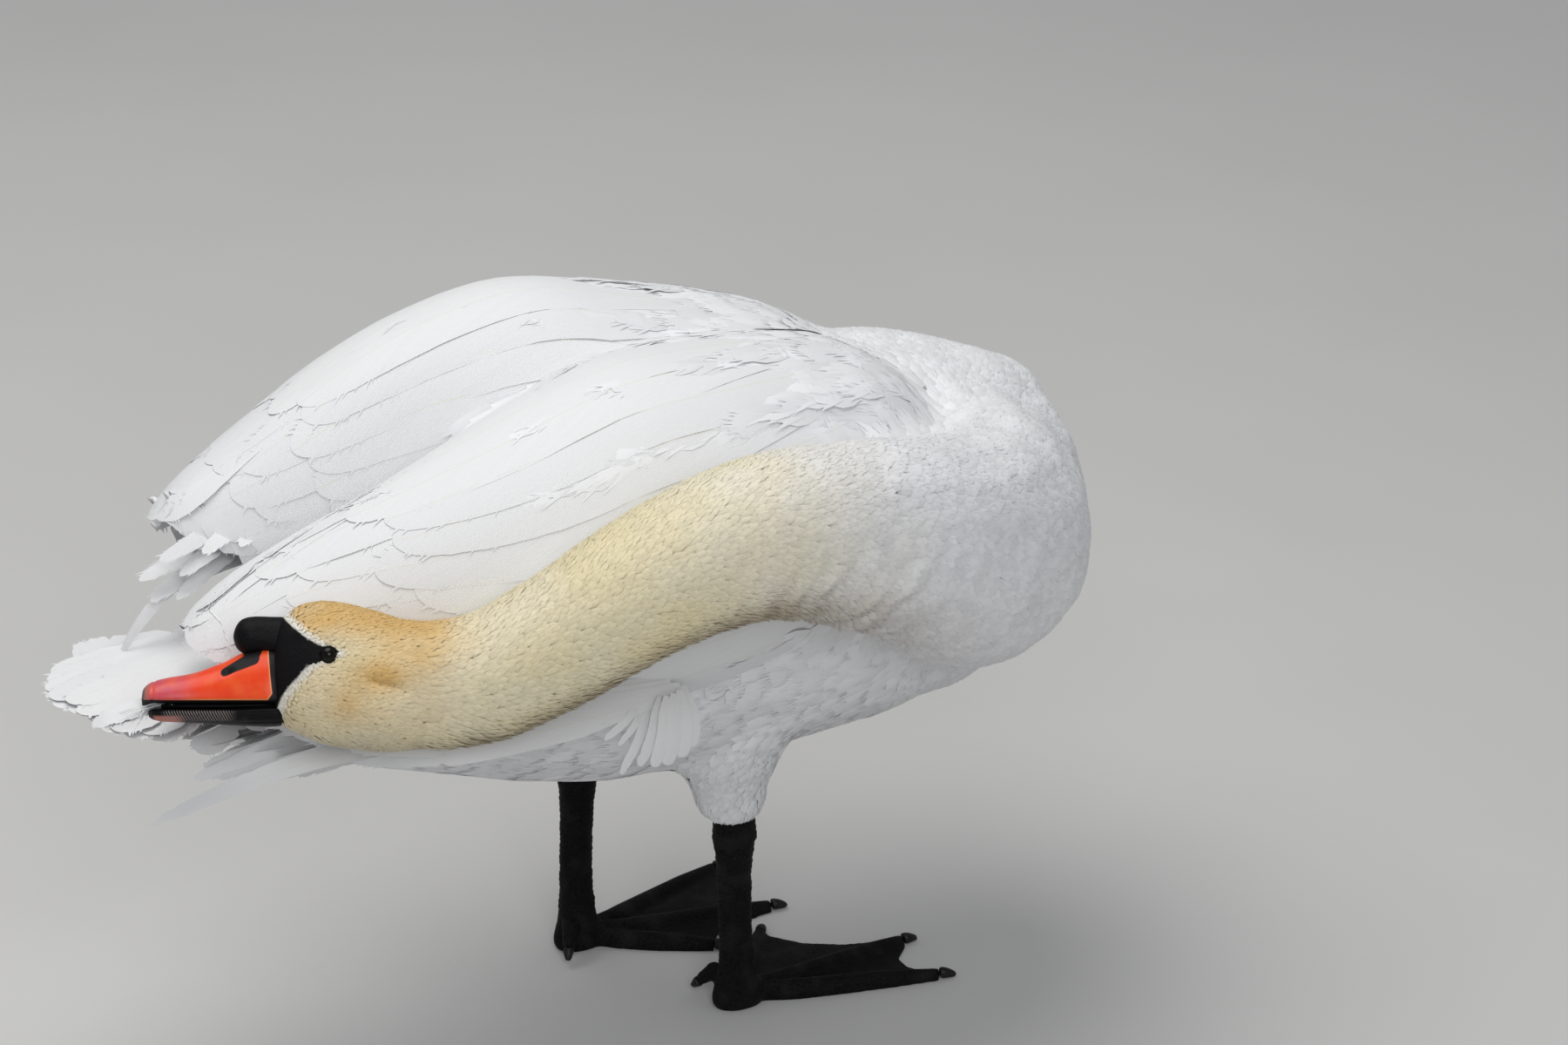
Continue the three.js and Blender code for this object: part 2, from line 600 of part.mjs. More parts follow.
function heel(name, grow = 0) {
  const at = footPlace(name);
  const ring = (ahead, z, wide, up, down) => {
    const half = { wide: wide + grow, up: up + grow, down: down + grow };
    return oval(V(at.x + ahead, at.y, z), V(0, 1, 0), V(1, 0, 0), half, 12);
  };
  return loft([
    ring(3, 0, 13, 18, 20),
    ring(3, 6, 15, 22, 22),
    ring(1, 15, 13, 18, 18),
    ring(0, SHANK_END + grow, 11.5, 16, 15),
  ]);
}

function foot(name) {
  const top = Array.from({ length: FOOT_ROWS + 1 }, (_, i) => footRow(name, i / FOOT_ROWS));
  const bottom = top.map((row) => row.map((p) => p.clone().setZ(0)));
  return join([heel(name), slab(top, bottom)]);
}

// A blunt claw that goes on from its toe's end, just clear of the floor.
function claw(name, [angle, share]) {
  const ahead = toeAhead(angle);
  const ringOf = (reach, radius) => {
    const centre = footPlace(name).addScaledVector(ahead, MIDDLE_TOE * share + GAP + reach);
    const half = { wide: radius, up: radius, down: radius };
    return oval(centre.setZ(radius + 0.3), V(-ahead.y, ahead.x, 0), UP, half, 7);
  };
  return chain([ringOf(0, 4.4), ringOf(6, 3.7), ringOf(12, 1.6)]);
}

// The short hind toe, on the inner side of the heel, and its claw.
function hindToe(name) {
  const at = footPlace(name);
  const inward = -SIDES[name];
  const station = (f, wide) => ({
    x: at.x - lerp(10, 21, f),
    y: at.y + inward * lerp(10, 28, f),
    z: lerp(27, 6, f),
    wide,
    up: wide,
    down: wide,
  });
  const stations = [station(0, 6.5), station(0.35, 5.6), station(0.7, 4.6), station(1, 1.6)];
  return {
    toe: chain(ringsAlong(stations, { t0: 0, t1: 2, count: 3, sides: 8 })),
    claw: chain(ringsAlong(stations, { t0: 2.05, t1: 3, count: 2, sides: 8 })),
  };
}

// ---------------------------------------------------------------- the whole swan
const group = new THREE.Group();

function add(name, made, material) {
  const mesh = mainBody(made).getMesh();
  const geometry = new THREE.BufferGeometry();
  geometry.setAttribute("position", new THREE.Float32BufferAttribute(mesh.vertProperties, 3));
  geometry.setIndex(new THREE.Uint32BufferAttribute(mesh.triVerts, 1));
  const node = new THREE.Mesh(geometry, material);
  node.name = name;
  group.add(node);
}

const neckKeepOut = join([
  ...["base", "middle", "upper"].map((part) => neckLength(NECK_PARTS[part], GAP)),
  headWhole(GAP),
  eyeBall(1, GAP),
  eyeBall(-1, GAP),
]);
const trunkBody = (grow = 0) => {
  const barrel = loft(ringsAlong(trunkStations, { count: 10, sides: 18, grow, dome: [false, true] }));
  return join([barrel, neckLength(NECK_PARTS.root, grow)]);
};
const trunk = trunkBody().trimByPlane([1, 0, 0], RUMP).subtract(neckKeepOut);
const trunkKeepOut = trunkBody(GAP);
const tailBase = (grow = 0) => {
  const whole = loft(ringsAlong(tailBaseStations, { count: 4, sides: 16, dome: [false, true], grow }));
  return whole.trimByPlane([-1, 0, 0], CUT - RUMP - grow);
};

add("trunk", trunk, WHITE);
for (const part of ["base", "middle"]) add(`neck_${part}`, neckLength(NECK_PARTS[part]), CREAM);
add("neck_upper", behindHead(neckLength(NECK_PARTS.upper), CUT), CREAM);
add("head", headWhole().subtract(join([eyeBall(1, GAP), eyeBall(-1, GAP)])), CREAM);
for (const [name, side] of Object.entries(SIDES)) add(`eye_${name}`, eyeBall(side), EYE_BROWN);
const upperBill = loft(headRings(upperStations, { count: 9, sides: 12 })).subtract(knobBall(GAP));
const nailCut = headForward.dot(onHead(TIP - NAIL_LENGTH, 0, 0));
add("bill_upper", upperBill.trimByPlane(headForward.clone().negate().toArray(), CUT / 2 - nailCut), ORANGE);
add("bill_nail", upperBill.trimByPlane(headForward.toArray(), CUT / 2 + nailCut), BLACK);
add("bill_lower", loft(headRings(lowerStations, { count: 6, sides: 12 })), BLACK);
add("bill_knob", knobBall().subtract(headWhole(GAP)), BLACK);
add("tail_base", tailBase(), WHITE);
add("tail", tailFan().subtract(tailBase(GAP)).subtract(trunkKeepOut), QUILL);

const keepOut = join([neckKeepOut, trunkKeepOut, tailBase(GAP)]);
const primaries = { right: rightPrimaries, left: leftPrimaries };
for (const [name, side] of Object.entries(SIDES)) {
  const ownSide = (made) => made.trimByPlane([0, side, 0], GAP / 2);
  const whole = ownSide(wingVault(name)).subtract(keepOut);
  add(`wing_${name}_coverts`, whole.trimByPlane([1, 0, 0], WING_PARTING + CUT / 2), WHITE);
  const rear = whole.trimByPlane([-1, 0, 0], -WING_PARTING + CUT / 2);
  add(`wing_${name}_tertials`, join([rear, ownSide(tertialTips(name)).subtract(keepOut)]), WHITE);
  const vaultFilled = wingVault(name, GAP);
  const handClear = join([keepOut, vaultFilled, alula(name, GAP), tertialTips(name, GAP)]);
  add(`wing_${name}_primaries`, ownSide(primaries[name]()).subtract(handClear), QUILL);
  add(`wing_${name}_alula`, alula(name).subtract(join([keepOut, vaultFilled])), QUILL);
}
for (const name of Object.keys(SIDES)) {
  add(`thigh_${name}`, thigh(name).subtract(trunkKeepOut), WHITE);
  add(`shank_${name}`, shank(name), SLATE);
  add(`foot_${name}`, foot(name), SLATE);
  for (const [toe, one] of Object.entries(toes[name])) add(`claw_${name}_${toe}`, claw(name, one), BLACK);
  const hind = hindToe(name);
  add(`hind_toe_${name}`, hind.toe.subtract(shank(name, GAP)).subtract(heel(name, GAP)), SLATE);
  add(`claw_${name}_hind`, hind.claw, BLACK);
}

const box = new THREE.Box3().setFromObject(group);
const middle = box.getCenter(V(0, 0, 0));
group.position.set(-middle.x, -middle.y, -box.min.z);

export default group;
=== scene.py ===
"""A life-size mute swan that stands and preens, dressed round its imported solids.

One skin replaces the solids of flesh and lies inside them by the depth of the coat. The coat is closed
meshes: short tufts on head and neck, vanes on the body, and long feathers on wings and tail.
All sizes are millimetres in the swan's own frame (+X forward, +Y its left, +Z up from the floor),
and `metres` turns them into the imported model's frame as each mesh is made. The head has a frame of
its own, where f is a place forward along the bill and u one up from its middle.
"""

import json
import math

import bmesh
import bpy
import numpy as np
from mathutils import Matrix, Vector
from mathutils.bvhtree import BVHTree
from mathutils.kdtree import KDTree

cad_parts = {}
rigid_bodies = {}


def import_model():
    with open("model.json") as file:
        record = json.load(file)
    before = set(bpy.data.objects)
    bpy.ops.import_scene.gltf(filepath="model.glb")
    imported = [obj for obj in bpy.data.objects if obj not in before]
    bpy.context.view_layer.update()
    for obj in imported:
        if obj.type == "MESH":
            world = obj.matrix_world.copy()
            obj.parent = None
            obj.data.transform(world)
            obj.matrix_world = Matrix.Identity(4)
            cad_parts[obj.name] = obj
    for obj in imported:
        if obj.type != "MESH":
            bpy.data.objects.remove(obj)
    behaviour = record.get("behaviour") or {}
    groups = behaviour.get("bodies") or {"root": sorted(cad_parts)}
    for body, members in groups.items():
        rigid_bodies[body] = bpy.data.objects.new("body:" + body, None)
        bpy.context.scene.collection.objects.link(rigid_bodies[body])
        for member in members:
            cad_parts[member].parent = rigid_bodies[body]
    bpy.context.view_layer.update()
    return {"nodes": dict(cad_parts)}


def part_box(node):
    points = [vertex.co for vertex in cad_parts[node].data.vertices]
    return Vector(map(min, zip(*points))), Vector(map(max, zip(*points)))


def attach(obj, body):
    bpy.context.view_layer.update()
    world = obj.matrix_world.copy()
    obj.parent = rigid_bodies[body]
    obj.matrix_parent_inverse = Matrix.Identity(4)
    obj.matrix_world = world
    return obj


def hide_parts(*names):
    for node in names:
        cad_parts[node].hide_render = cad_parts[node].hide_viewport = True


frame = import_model()
rng = np.random.default_rng(11)


# ---------------------------------------------------------------- numbers and vectors
def vec(*values):
    return np.array(values, float)


def unit(v):
    return v / np.maximum(np.linalg.norm(v, axis=-1, keepdims=True), 1e-9)


def dot(a, b):
    return np.sum(a * b, axis=-1, keepdims=True)


def ramp(low, high, x):
    """0 below low, 1 above high, and smooth between them; high may be the lower one."""
    t = np.clip((x - low) / (high - low), 0, 1)
    return t * t * (3 - 2 * t)


def mix(a, b, t):
    return a + (b - a) * t


def size_at(stations, t):
    """Rows of a station table at the index t, by Catmull-Rom."""
    table = np.asarray(stations, float)
    last = len(table) - 1
    i = np.clip(np.floor(t).astype(int), 0, last - 1)
    f = (np.asarray(t, float) - i)[..., None]
    a, b, c, d = (table[np.clip(i + k, 0, last)] for k in (-1, 0, 1, 2))
    square = 2 * a - 5 * b + 4 * c - d
    cube = 3 * b - a - 3 * c + d
    return 0.5 * (2 * b + (c - a) * f + square * f * f + cube * f**3)


LATTICE = rng.random((32, 32, 32))


def noise(points, size):
    """Smooth noise from 0 to 1, with features about size across."""
    p = points / np.asarray(size, float) + 500.0
    base = np.floor(p).astype(int)
    f = p - base
    f = f * f * (3 - 2 * f)
    total = np.zeros(len(points))
    for corner in np.ndindex(2, 2, 2):
        weight = np.prod(np.where(corner, f, 1 - f), axis=1)
        x, y, z = ((base + corner) % 32).T
        total += weight * LATTICE[x, y, z]
    return total


# ---------------------------------------------------------------- the head's own frame
HEAD_TURN = math.radians(28)
HEAD_TILT = math.radians(25)
HEAD_PLACE = vec(-311, -158, 391.6)
HEAD_FORWARD = vec(-math.cos(HEAD_TURN), math.sin(HEAD_TURN), 0)
HEAD_UP = vec(
    math.sin(HEAD_TURN) * math.sin(HEAD_TILT), math.cos(HEAD_TURN) * math.sin(HEAD_TILT), math.cos(HEAD_TILT)
)
HEAD_LEFT = np.cross(HEAD_UP, HEAD_FORWARD)
HEAD_AXES = np.stack([HEAD_FORWARD, HEAD_LEFT, HEAD_UP])
EYE = vec(0.2, 27.5, 11.1)
EYE_RADIUS = 5.6


def on_head(places):
    """Places given forward, left and up of the head, in the swan's frame."""
    return HEAD_PLACE + np.asarray(places, float) @ HEAD_AXES


def in_head(points):
    """The swan's frame turned into forward, left and up of the head."""
    return (points - HEAD_PLACE) @ HEAD_AXES.T

eye_low, eye_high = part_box("eye_left")
SHIFT = 1000 * np.array((eye_low + eye_high) / 2) - on_head(EYE)


def hill(head_places, at, wide, high):
    """1 at a place on the head's side, given forward and up, and less away from it."""
    f, u = head_places[:, 0], head_places[:, 2]
    return np.exp(-((f - at[0]) ** 2) / wide**2 - (u - at[1]) ** 2 / high**2)


def metres(points):
    return (np.asarray(points, float) + SHIFT) / 1000


# ---------------------------------------------------------------- meshes
WELD_GRID = 20  # points in the same twentieth of a millimetre are one


def weld(points, faces):
    """The same triangles with the points that coincide made one."""
    keys = np.round(points * WELD_GRID).astype(int)
    _, first, back = np.unique(keys, axis=0, return_index=True, return_inverse=True)
    joined = back.reshape(-1)[faces]
    good = (joined[:, 0] != joined[:, 1]) & (joined[:, 1] != joined[:, 2]) & (joined[:, 0] != joined[:, 2])
    return points[first], joined[good]


def together(parts):
    """Several meshes as one: points and faces."""
    points, faces, start = [], [], 0
    for p, f in parts:
        points.append(p)
        faces.append(f + start)
        start += len(p)
    return np.concatenate(points), np.concatenate(faces)


def read_mesh(mesh):
    points = np.empty(len(mesh.vertices) * 3, np.float32)
    mesh.vertices.foreach_get("co", points)
    mesh.calc_loop_triangles()
    faces = np.empty(len(mesh.loop_triangles) * 3, np.int32)
    mesh.loop_triangles.foreach_get("vertices", faces)
    return points.reshape(-1, 3).astype(float), faces.reshape(-1, 3)


def solids(names):
    """Points and triangles of CAD nodes, and for each triangle the number of its node."""
    parts = [read_mesh(frame["nodes"][name].data) for name in names]
    parts = [weld(p * 1000 - SHIFT, f) for p, f in parts]
    owner = [np.full(len(f), number) for number, (_, f) in enumerate(parts)]
    return *together(parts), np.concatenate(owner)


def normals_of(points, faces):
    a, b, c = (points[faces[:, k]] for k in range(3))
    across = np.cross(b - a, c - a)
    total = np.zeros_like(points)
    for k in range(3):
        for axis in range(3):
            total[:, axis] += np.bincount(faces[:, k], across[:, axis], len(points))
    return unit(total)


def neighbours(faces, count):
    edges = np.sort(np.concatenate([faces[:, [0, 1]], faces[:, [1, 2]], faces[:, [2, 0]]]), axis=1)
    edges = np.unique(edges, axis=0)
    ends = np.concatenate([edges, edges[:, ::-1]])
    return ends, np.maximum(np.bincount(ends[:, 0], minlength=count), 1)


def smoothed(values, faces, rounds, share=0.5):
    """Values of the points, each drawn to its neighbours' mean."""
    ends, degree = neighbours(faces, len(values))
    flat = values.reshape(len(values), -1).copy()
    for _ in range(rounds):
        near = [np.bincount(ends[:, 0], column[ends[:, 1]], len(flat)) for column in flat.T]
        flat += share * (np.stack(near, 1) / degree[:, None] - flat)
    return flat.reshape(values.shape)


def new_object(name, points, faces, frame_points=True):
    """A mesh object; faces is an array of triangles or quads."""
    mesh = bpy.data.meshes.new(name)
    made = metres(points) if frame_points else points
    mesh.vertices.add(len(made))
    mesh.vertices.foreach_set("co", made.astype(np.float32).ravel())
    sides = faces.shape[1]
    mesh.loops.add(faces.size)
    mesh.loops.foreach_set("vertex_index", faces.astype(np.int32).ravel())
    mesh.polygons.add(len(faces))
    mesh.polygons.foreach_set("loop_start", np.arange(0, faces.size, sides, dtype=np.int32))
    mesh.update(calc_edges=True)
    mesh.shade_smooth()
    made_object = bpy.data.objects.new(name, mesh)
    bpy.context.scene.collection.objects.link(made_object)
    return made_object


def set_marks(made, **marks):
    """Per-point vectors that the materials read."""
    for name, values in marks.items():
        layer = made.data.attributes.new(name, "FLOAT_VECTOR", "POINT")
        layer.data.foreach_set("vector", values.astype(np.float32).ravel())


def set_bake_map(made, places):
    """The map that the looks are baked on, from one place for each point."""
    loops = np.empty(len(made.data.loops), np.int32)
    made.data.loops.foreach_get("vertex_index", loops)
    layer = made.data.uv_layers.new(name="OFBake")
    layer.data.foreach_set("uv", places[loops].astype(np.float32).ravel())


def set_normals(made, points, faces, normals, share):
    """Shading normals near the coat's own surface, or its reverse under a tuft; side walls keep their own."""
    a, b, c = (points[faces[:, k]] for k in range(3))
    flat = unit(np.cross(b - a, c - a))[:, None]
    soft = normals[faces]
    facing = np.sum(soft * flat, axis=2, keepdims=True)
    share = share * ramp(0.2, 0.75, np.abs(facing))
    made_normals = unit(share * np.where(facing < 0, -soft, soft) + (1 - share) * flat)
    made.data.normals_split_custom_set(made_normals.reshape(-1, 3).tolist())


def finish_piece(made, material, slot, *nodes):
    """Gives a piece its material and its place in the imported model; nodes are the solids it replaces."""
    made.data.materials.append(material)
    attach(made, "root")
    if nodes:
        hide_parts(*nodes)


def remeshed(points, faces, voxel):
    """One closed surface round overlapping solids, as triangles of its largest body."""
    source = new_object("form", points, faces, frame_points=False)
    modifier = source.modifiers.new("voxels", "REMESH")
    modifier.mode = "VOXEL"
    modifier.voxel_size = voxel
    evaluated = source.evaluated_get(bpy.context.evaluated_depsgraph_get())
    mesh = bpy.data.meshes.new_from_object(evaluated)
    made_points, made_faces = read_mesh(mesh)
    bpy.data.meshes.remove(mesh)
    bpy.data.objects.remove(source)
    # Each point takes the lowest number that reaches it, so every body ends with one label.
    label = np.arange(len(made_points))
    while True:
        lowest = label[made_faces].min(axis=1)
        fresh = label.copy()
        for k in range(3):
            np.minimum.at(fresh, made_faces[:, k], lowest)
        fresh = fresh[fresh]
        if (fresh == label).all():
            break
        label = fresh
    main = label[made_faces[:, 0]] == np.bincount(label).argmax()
    used, back = np.unique(made_faces[main], return_inverse=True)
    return made_points[used], back.reshape(-1, 3)


# ---------------------------------------------------------------- the neck's line and the lie of the coat
NECK = [
    (150, 10, 345), (200, -45, 350), (196, -112, 362), (140, -172, 392), (61, -212, 433),
    (-30, -228, 457), (-108, -226, 441), (-172, -212, 406), (-225, -196, 383), (-268, -180, 381),
]  # fmt: skip
STEPS_PER_STOP = 20
neck_steps = np.linspace(0, len(NECK) - 1, (len(NECK) - 1) * STEPS_PER_STOP + 1)
neck_line = size_at(NECK, neck_steps)
neck_ahead = unit(np.gradient(neck_line, axis=0))
NECK_LEAVES = vec(160, -150, 388)  # inside the neck's root, from which the breast's coat spreads
RIPPLES_PER_STOP = 46 / 13  # folds across the neck between one stop and the next
LOWEST_ROOT = 156  # feathers grow above this height


def along_neck(points):
    """For each point the nearest place on the neck's line, as an index into neck_line."""
    best = np.empty(len(points), int)
    for start in range(0, len(points), 4000):
        part = points[start : start + 4000, None, :] - neck_line[None]
        best[start : start + 4000] = np.sum(part * part, axis=2).argmin(axis=1)
    return best


FLESH = (
    "trunk", "neck_base", "neck_middle", "neck_upper", "head", "tail_base",
    "wing_right_coverts", "wing_left_coverts", "thigh_right", "thigh_left",
)  # fmt: skip
LEGS = tuple(f"{part}_{side}" for side in ("right", "left") for part in ("shank", "foot", "hind_toe"))


def belongs(label, *names):
    """Whether each point's solid is one of these."""
    return np.isin(label, [FLESH.index(name) for name in names])


def lie_of_coat(points, label):
    """The way that feathers point, before it is laid on the skin."""
    back = np.tile(vec(-1, 0, -0.12), (len(points), 1))
    away = unit(points - NECK_LEAVES)
    front = ramp(60, 190, points[:, :1])
    trunk = unit(mix(back, away * vec(1, 1, 1.2), front))
    neck = -neck_ahead[along_neck(points)] + vec(0, 0, -0.12)
    head = np.tile(-HEAD_FORWARD, (len(points), 1)) + vec(0, 0, -0.1)
    tail = np.tile(vec(-0.95, -0.26, 0), (len(points), 1))
    thigh = np.tile(vec(-0.45, 0, -1), (len(points), 1))
    wing = np.tile(vec(-1, 0, -0.05), (len(points), 1))
    ways = dict(trunk=trunk, neck=neck, head=head, tail=tail, thigh=thigh, wing=wing)
    made = np.zeros_like(points)
    for number, name in enumerate(FLESH):
        mine = label == number
        made[mine] = ways[name.split("_")[0]][mine]
    return unit(made)


# The black skin of the lores: how far forward the feathers' edge is at each height of the head.
LORE_HEIGHT = (-60, -36, -25, -17, -9.7, -4.6, 3.4, 7.5, 11.5, 16, 17.7, 21.7, 29.2, 35.5, 60)
LORE_EDGE = (44, 39, 35, 31.5, 26.3, 21.2, 14.3, 2, -6.5, 1.7, 6.9, 14.3, 24.6, 32.3, 36)


def lore_depth(head_places):
    """How far a place lies inside the black skin, forward of the feathers' edge."""
    return head_places[:, 0] - np.interp(head_places[:, 2], LORE_HEIGHT, LORE_EDGE)


# ---------------------------------------------------------------- the skin
BODY_VOXEL = 4.5
LEG_VOXEL = 2.0
BRIDGE = 0.5  # how far the flesh's solids are swollen to close the gaps between them
LEG_BRIDGE = 0.4
SKIN_DEPTHS = (3.8, 3.2, 2.6, 2.4, 1.5, 4, 2.8, 2.8, 3.4, 3.4)  # under the coat's surface, in FLESH's order
FOLD_DEPTH = 2.5  # the fold behind the cheek
LUMP_HEIGHT = 6.0  # the breast's bunched skin
RIPPLE_HEIGHT = 3.2  # the neck's, along its lower side


def build_body_skin():
    points, faces, owner = solids(FLESH)
    tree = BVHTree.FromPolygons(points.tolist(), faces.tolist())
    grown = points + BRIDGE * normals_of(points, faces)
    points, faces = remeshed(grown, faces, BODY_VOXEL)
    points = smoothed(points, faces, 7)
    behind = in_head(points)[:, :1]
    nape = ramp(-120, -85, behind) * ramp(-26, -48, behind)
    points = mix(points, smoothed(points, faces, 26), nape)
    points, faces = finer_head(points, faces)
    label = np.array([owner[tree.find_nearest(p)[2]] for p in points.tolist()])
    return points, faces, label


def finer_head(points, faces):
    """The same skin with the head's triangles divided, and smoothed there."""
    made = bmesh.new()
    source = new_object("form", points, faces, frame_points=False)
    made.from_mesh(source.data)
    bpy.data.objects.remove(source)
    for reach in (-75, -42):
        near = in_head(np.array([v.co for v in made.verts]))
        inside = (near[:, 0] > reach) & (np.abs(near[:, 1]) < 60) & (np.abs(near[:, 2]) < 70)
        made.verts.ensure_lookup_table()
        edges = [e for e in made.edges if inside[e.verts[0].index] and inside[e.verts[1].index]]
        bmesh.ops.subdivide_edges(made, edges=edges, cuts=1, use_grid_fill=True)
        bmesh.ops.triangulate(made, faces=made.faces[:])
        made.verts.index_update()
    mesh = bpy.data.meshes.new("finer")
    made.to_mesh(mesh)
    made.free()
    fine_points, fine_faces = read_mesh(mesh)
    bpy.data.meshes.remove(mesh)
    head = in_head(fine_points)
    share = ramp(-78, -60, head[:, :1]) * (np.abs(head[:, 1:2]) < 60)
    softer = smoothed(fine_points, fine_faces, 14)
    return mix(fine_points, softer, share), fine_faces


def coat_depth(points, label):
    """How far the skin lies under the coat's surface: nothing at the bare lores and at the thigh's end."""
    depth = smoothed(np.array(SKIN_DEPTHS)[label], body_faces, 16)
    depth *= np.where(belongs(label, "head"), 1 - ramp(-3, 0.5, lore_depth(in_head(points))), 1)
    thigh = belongs(label, "thigh_right", "thigh_left")
    return np.where(thigh, depth * ramp(158, 186, points[:, 2]), depth)


def skin_forms(points, normals, label):
    """Folds and swellings of the head, and the bunched skin of neck and breast, along the normal."""
    head = in_head(points)
    f, u = head[:, 0], head[:, 2]
    fold_height = np.interp(f, (-56, -27), (-14, -5.5))
    fold = np.exp(-((u - fold_height) ** 2) / 2.6**2) * ramp(-58, -46, f) * ramp(-22, -30, f)
    made = 3.0 * hill(head, (-38, -29), 21, 14) + 1.6 * hill(head, (-40, 3), 20, 8) - FOLD_DEPTH * fold
    made += 1.1 * hill(head, (12, 25), 16, 4) - 1.6 * hill(head, (EYE[0], EYE[2]), 5.5, 5.5)
    made *= ramp(8, 22, np.abs(head[:, 1])) * belongs(label, "head", "neck_upper")
    place = along_neck(points) / STEPS_PER_STOP
    neck = belongs(label, "neck_base", "neck_middle", "trunk")
    breast = ramp(110, 190, points[:, 0]) * belongs(label, "trunk") + belongs(label, "neck_base")
    lumps = noise(points, 34) - 0.5 + 0.2 * (noise(points + 77, 17) - 0.5)
    made += LUMP_HEIGHT * lumps * np.clip(breast, 0, 1)
    ripple = np.sin(2 * math.pi * (place * RIPPLES_PER_STOP + 1.2 * noise(points, 30)))
    low = ramp(0.35, -0.35, normals[:, 2])
    made += RIPPLE_HEIGHT * ripple * low * ramp(3.3, 4.2, place) * ramp(6.2, 5.0, place) * neck
    return made


body_points, body_faces, body_label = build_body_skin()
normals = normals_of(body_points, body_faces)
depth = smoothed(coat_depth(body_points, body_label), body_faces, 2)
forms = smoothed(skin_forms(body_points, normals, body_label), body_faces, 2)
body_points = body_points + normals * (forms - depth)[:, None]
body_points = smoothed(body_points, body_faces, 1)
body_normals = normals_of(body_points, body_faces)

lie = lie_of_coat(body_points, body_label)
for _ in range(12):
    lie = smoothed(lie, body_faces, 2)
    lie = unit(lie - body_normals * dot(lie, body_normals))


def build_leg_skin():
    """Both legs from below the feathered thigh, their scaly skin and the webs."""
    points, faces, owner = solids(LEGS)
    into_thigh = np.where(points[:, 2] > LOWEST_ROOT, 14, 0)
    points = points + LEG_BRIDGE * normals_of(points, faces)
    points[:, 2] += into_thigh
    parts = []
    for side in (owner < 3, owner > 2):
        p, f = remeshed(points, faces[side], LEG_VOXEL)
        parts.append((smoothed(p, f, 4), f))
    return together(parts)


leg_points, leg_faces = build_leg_skin()
leg_normals = normals_of(leg_points, leg_faces)
shin = ramp(20, 34, leg_points[:, 2]) * ramp(172, 150, leg_points[:, 2])
rings = np.sin(2 * math.pi * leg_points[:, 2] / 4.6 + 3 * noise(leg_points, 14))
creases = noise(leg_points, (9, 9, 3.4)) - 0.5
leg_points = leg_points + leg_normals * (shin * (0.28 * rings + 1.1 * creases))[:, None]
leg_points[:, 2] = np.maximum(leg_points[:, 2], 0.05)

skin_points = np.concatenate([body_points, leg_points])
skin_faces = np.concatenate([body_faces, leg_faces + len(body_points)])
skin = new_object("skin", skin_points, skin_faces)
bpy.context.view_layer.objects.active = skin
skin.select_set(True)
bpy.ops.object.mode_set(mode="EDIT")
bpy.ops.mesh.select_all(action="SELECT")
bpy.ops.uv.smart_project(angle_limit=math.radians(60), island_margin=0.002)
bpy.ops.object.mode_set(mode="OBJECT")
skin.data.uv_layers[0].name = "OFBake"
skin_uv = np.empty(len(skin.data.loops) * 2, np.float32)
skin.data.uv_layers[0].data.foreach_get("uv", skin_uv)
skin_uv = skin_uv.reshape(-1, 3, 2)


# ---------------------------------------------------------------- markings, shared by skin and coat
def markings(points, label):
    """Cream, gold, and soil with painted shade, of the plumage at the skin's points, from 0 to 1."""
    head = in_head(points)
    nearest = along_neck(points)
    place = nearest / STEPS_PER_STOP
    stained = belongs(label, "neck_base", "neck_middle", "neck_upper", "head")
    on_neck = smoothed(stained.astype(float), body_faces, 10)
    f, u = head[:, 0], head[:, 2]
    rim = ramp(-7.5, -2.5, lore_depth(head)) * (f > -16)
    cream = ramp(3.9, 6.0, place + 0.5 * (noise(points, 30) - 0.5)) * on_neck
    cream *= mix(0.72, 1, noise(points, 24)) * (1 - 0.6 * rim)
    gold = ramp(14, 36, u) * ramp(-90, -45, f) * ramp(40, 20, f)
    gold += 0.95 * hill(head, (-30, -3), 17, 10) + 0.6 * hill(head, (-10, -20), 11, 13)
    gold += 0.6 * hill(head, (-56, 16), 30, 18)
    gold += 0.3 * ramp(-85, -55, f) * ramp(-44, -26, u)
    gold = np.clip(gold * mix(0.6, 1, noise(points, 16)) * (1 - rim), 0, 1) * on_neck
    # A brownish soil stain together with painted shade, on the neck's underside and the chin, where less
    # light falls.
    under = unit(points - neck_line[nearest])[:, 2]
    soil_and_shade = ramp(-0.25, -0.9, under) * ramp(2.6, 5.2, place) * on_neck
    chin = ramp(-30, -52, u) * belongs(label, "head")
    soil_and_shade = np.clip(soil_and_shade * ramp(-30, -90, f) + 0.4 * chin, 0, 1) * mix(0.35, 1, noise(points, 12))
    return smoothed(np.stack([cream, gold, soil_and_shade], 1), body_faces, 2)


# ---------------------------------------------------------------- materials
class Wire:
    """A value in a material's node tree, which takes part in sums like a number."""

    def __init__(self, tree, socket):
        self.tree, self.socket = tree, socket

    def __add__(self, other):
        return figure("ADD", self, other)

    def __sub__(self, other):
        return figure("SUBTRACT", self, other)

    def __rsub__(self, other):
        return figure("SUBTRACT", other, self)

    def __mul__(self, other):
        return figure("MULTIPLY", self, other)


def node(tree, kind, inputs=(), output=0, **settings):
    """A new node, as the wire from one of its outputs; its inputs are wires, numbers or colours."""
    made = tree.nodes.new(kind)
    for key, value in settings.items():
        setattr(made, key, value)
    for key, value in dict(inputs).items():
        socket = made.inputs[key]
        if isinstance(value, Wire):
            tree.links.new(value.socket, socket)
        else:
            socket.default_value = (*value, 1) if socket.type == "RGBA" else value
    return Wire(tree, made.outputs[output])


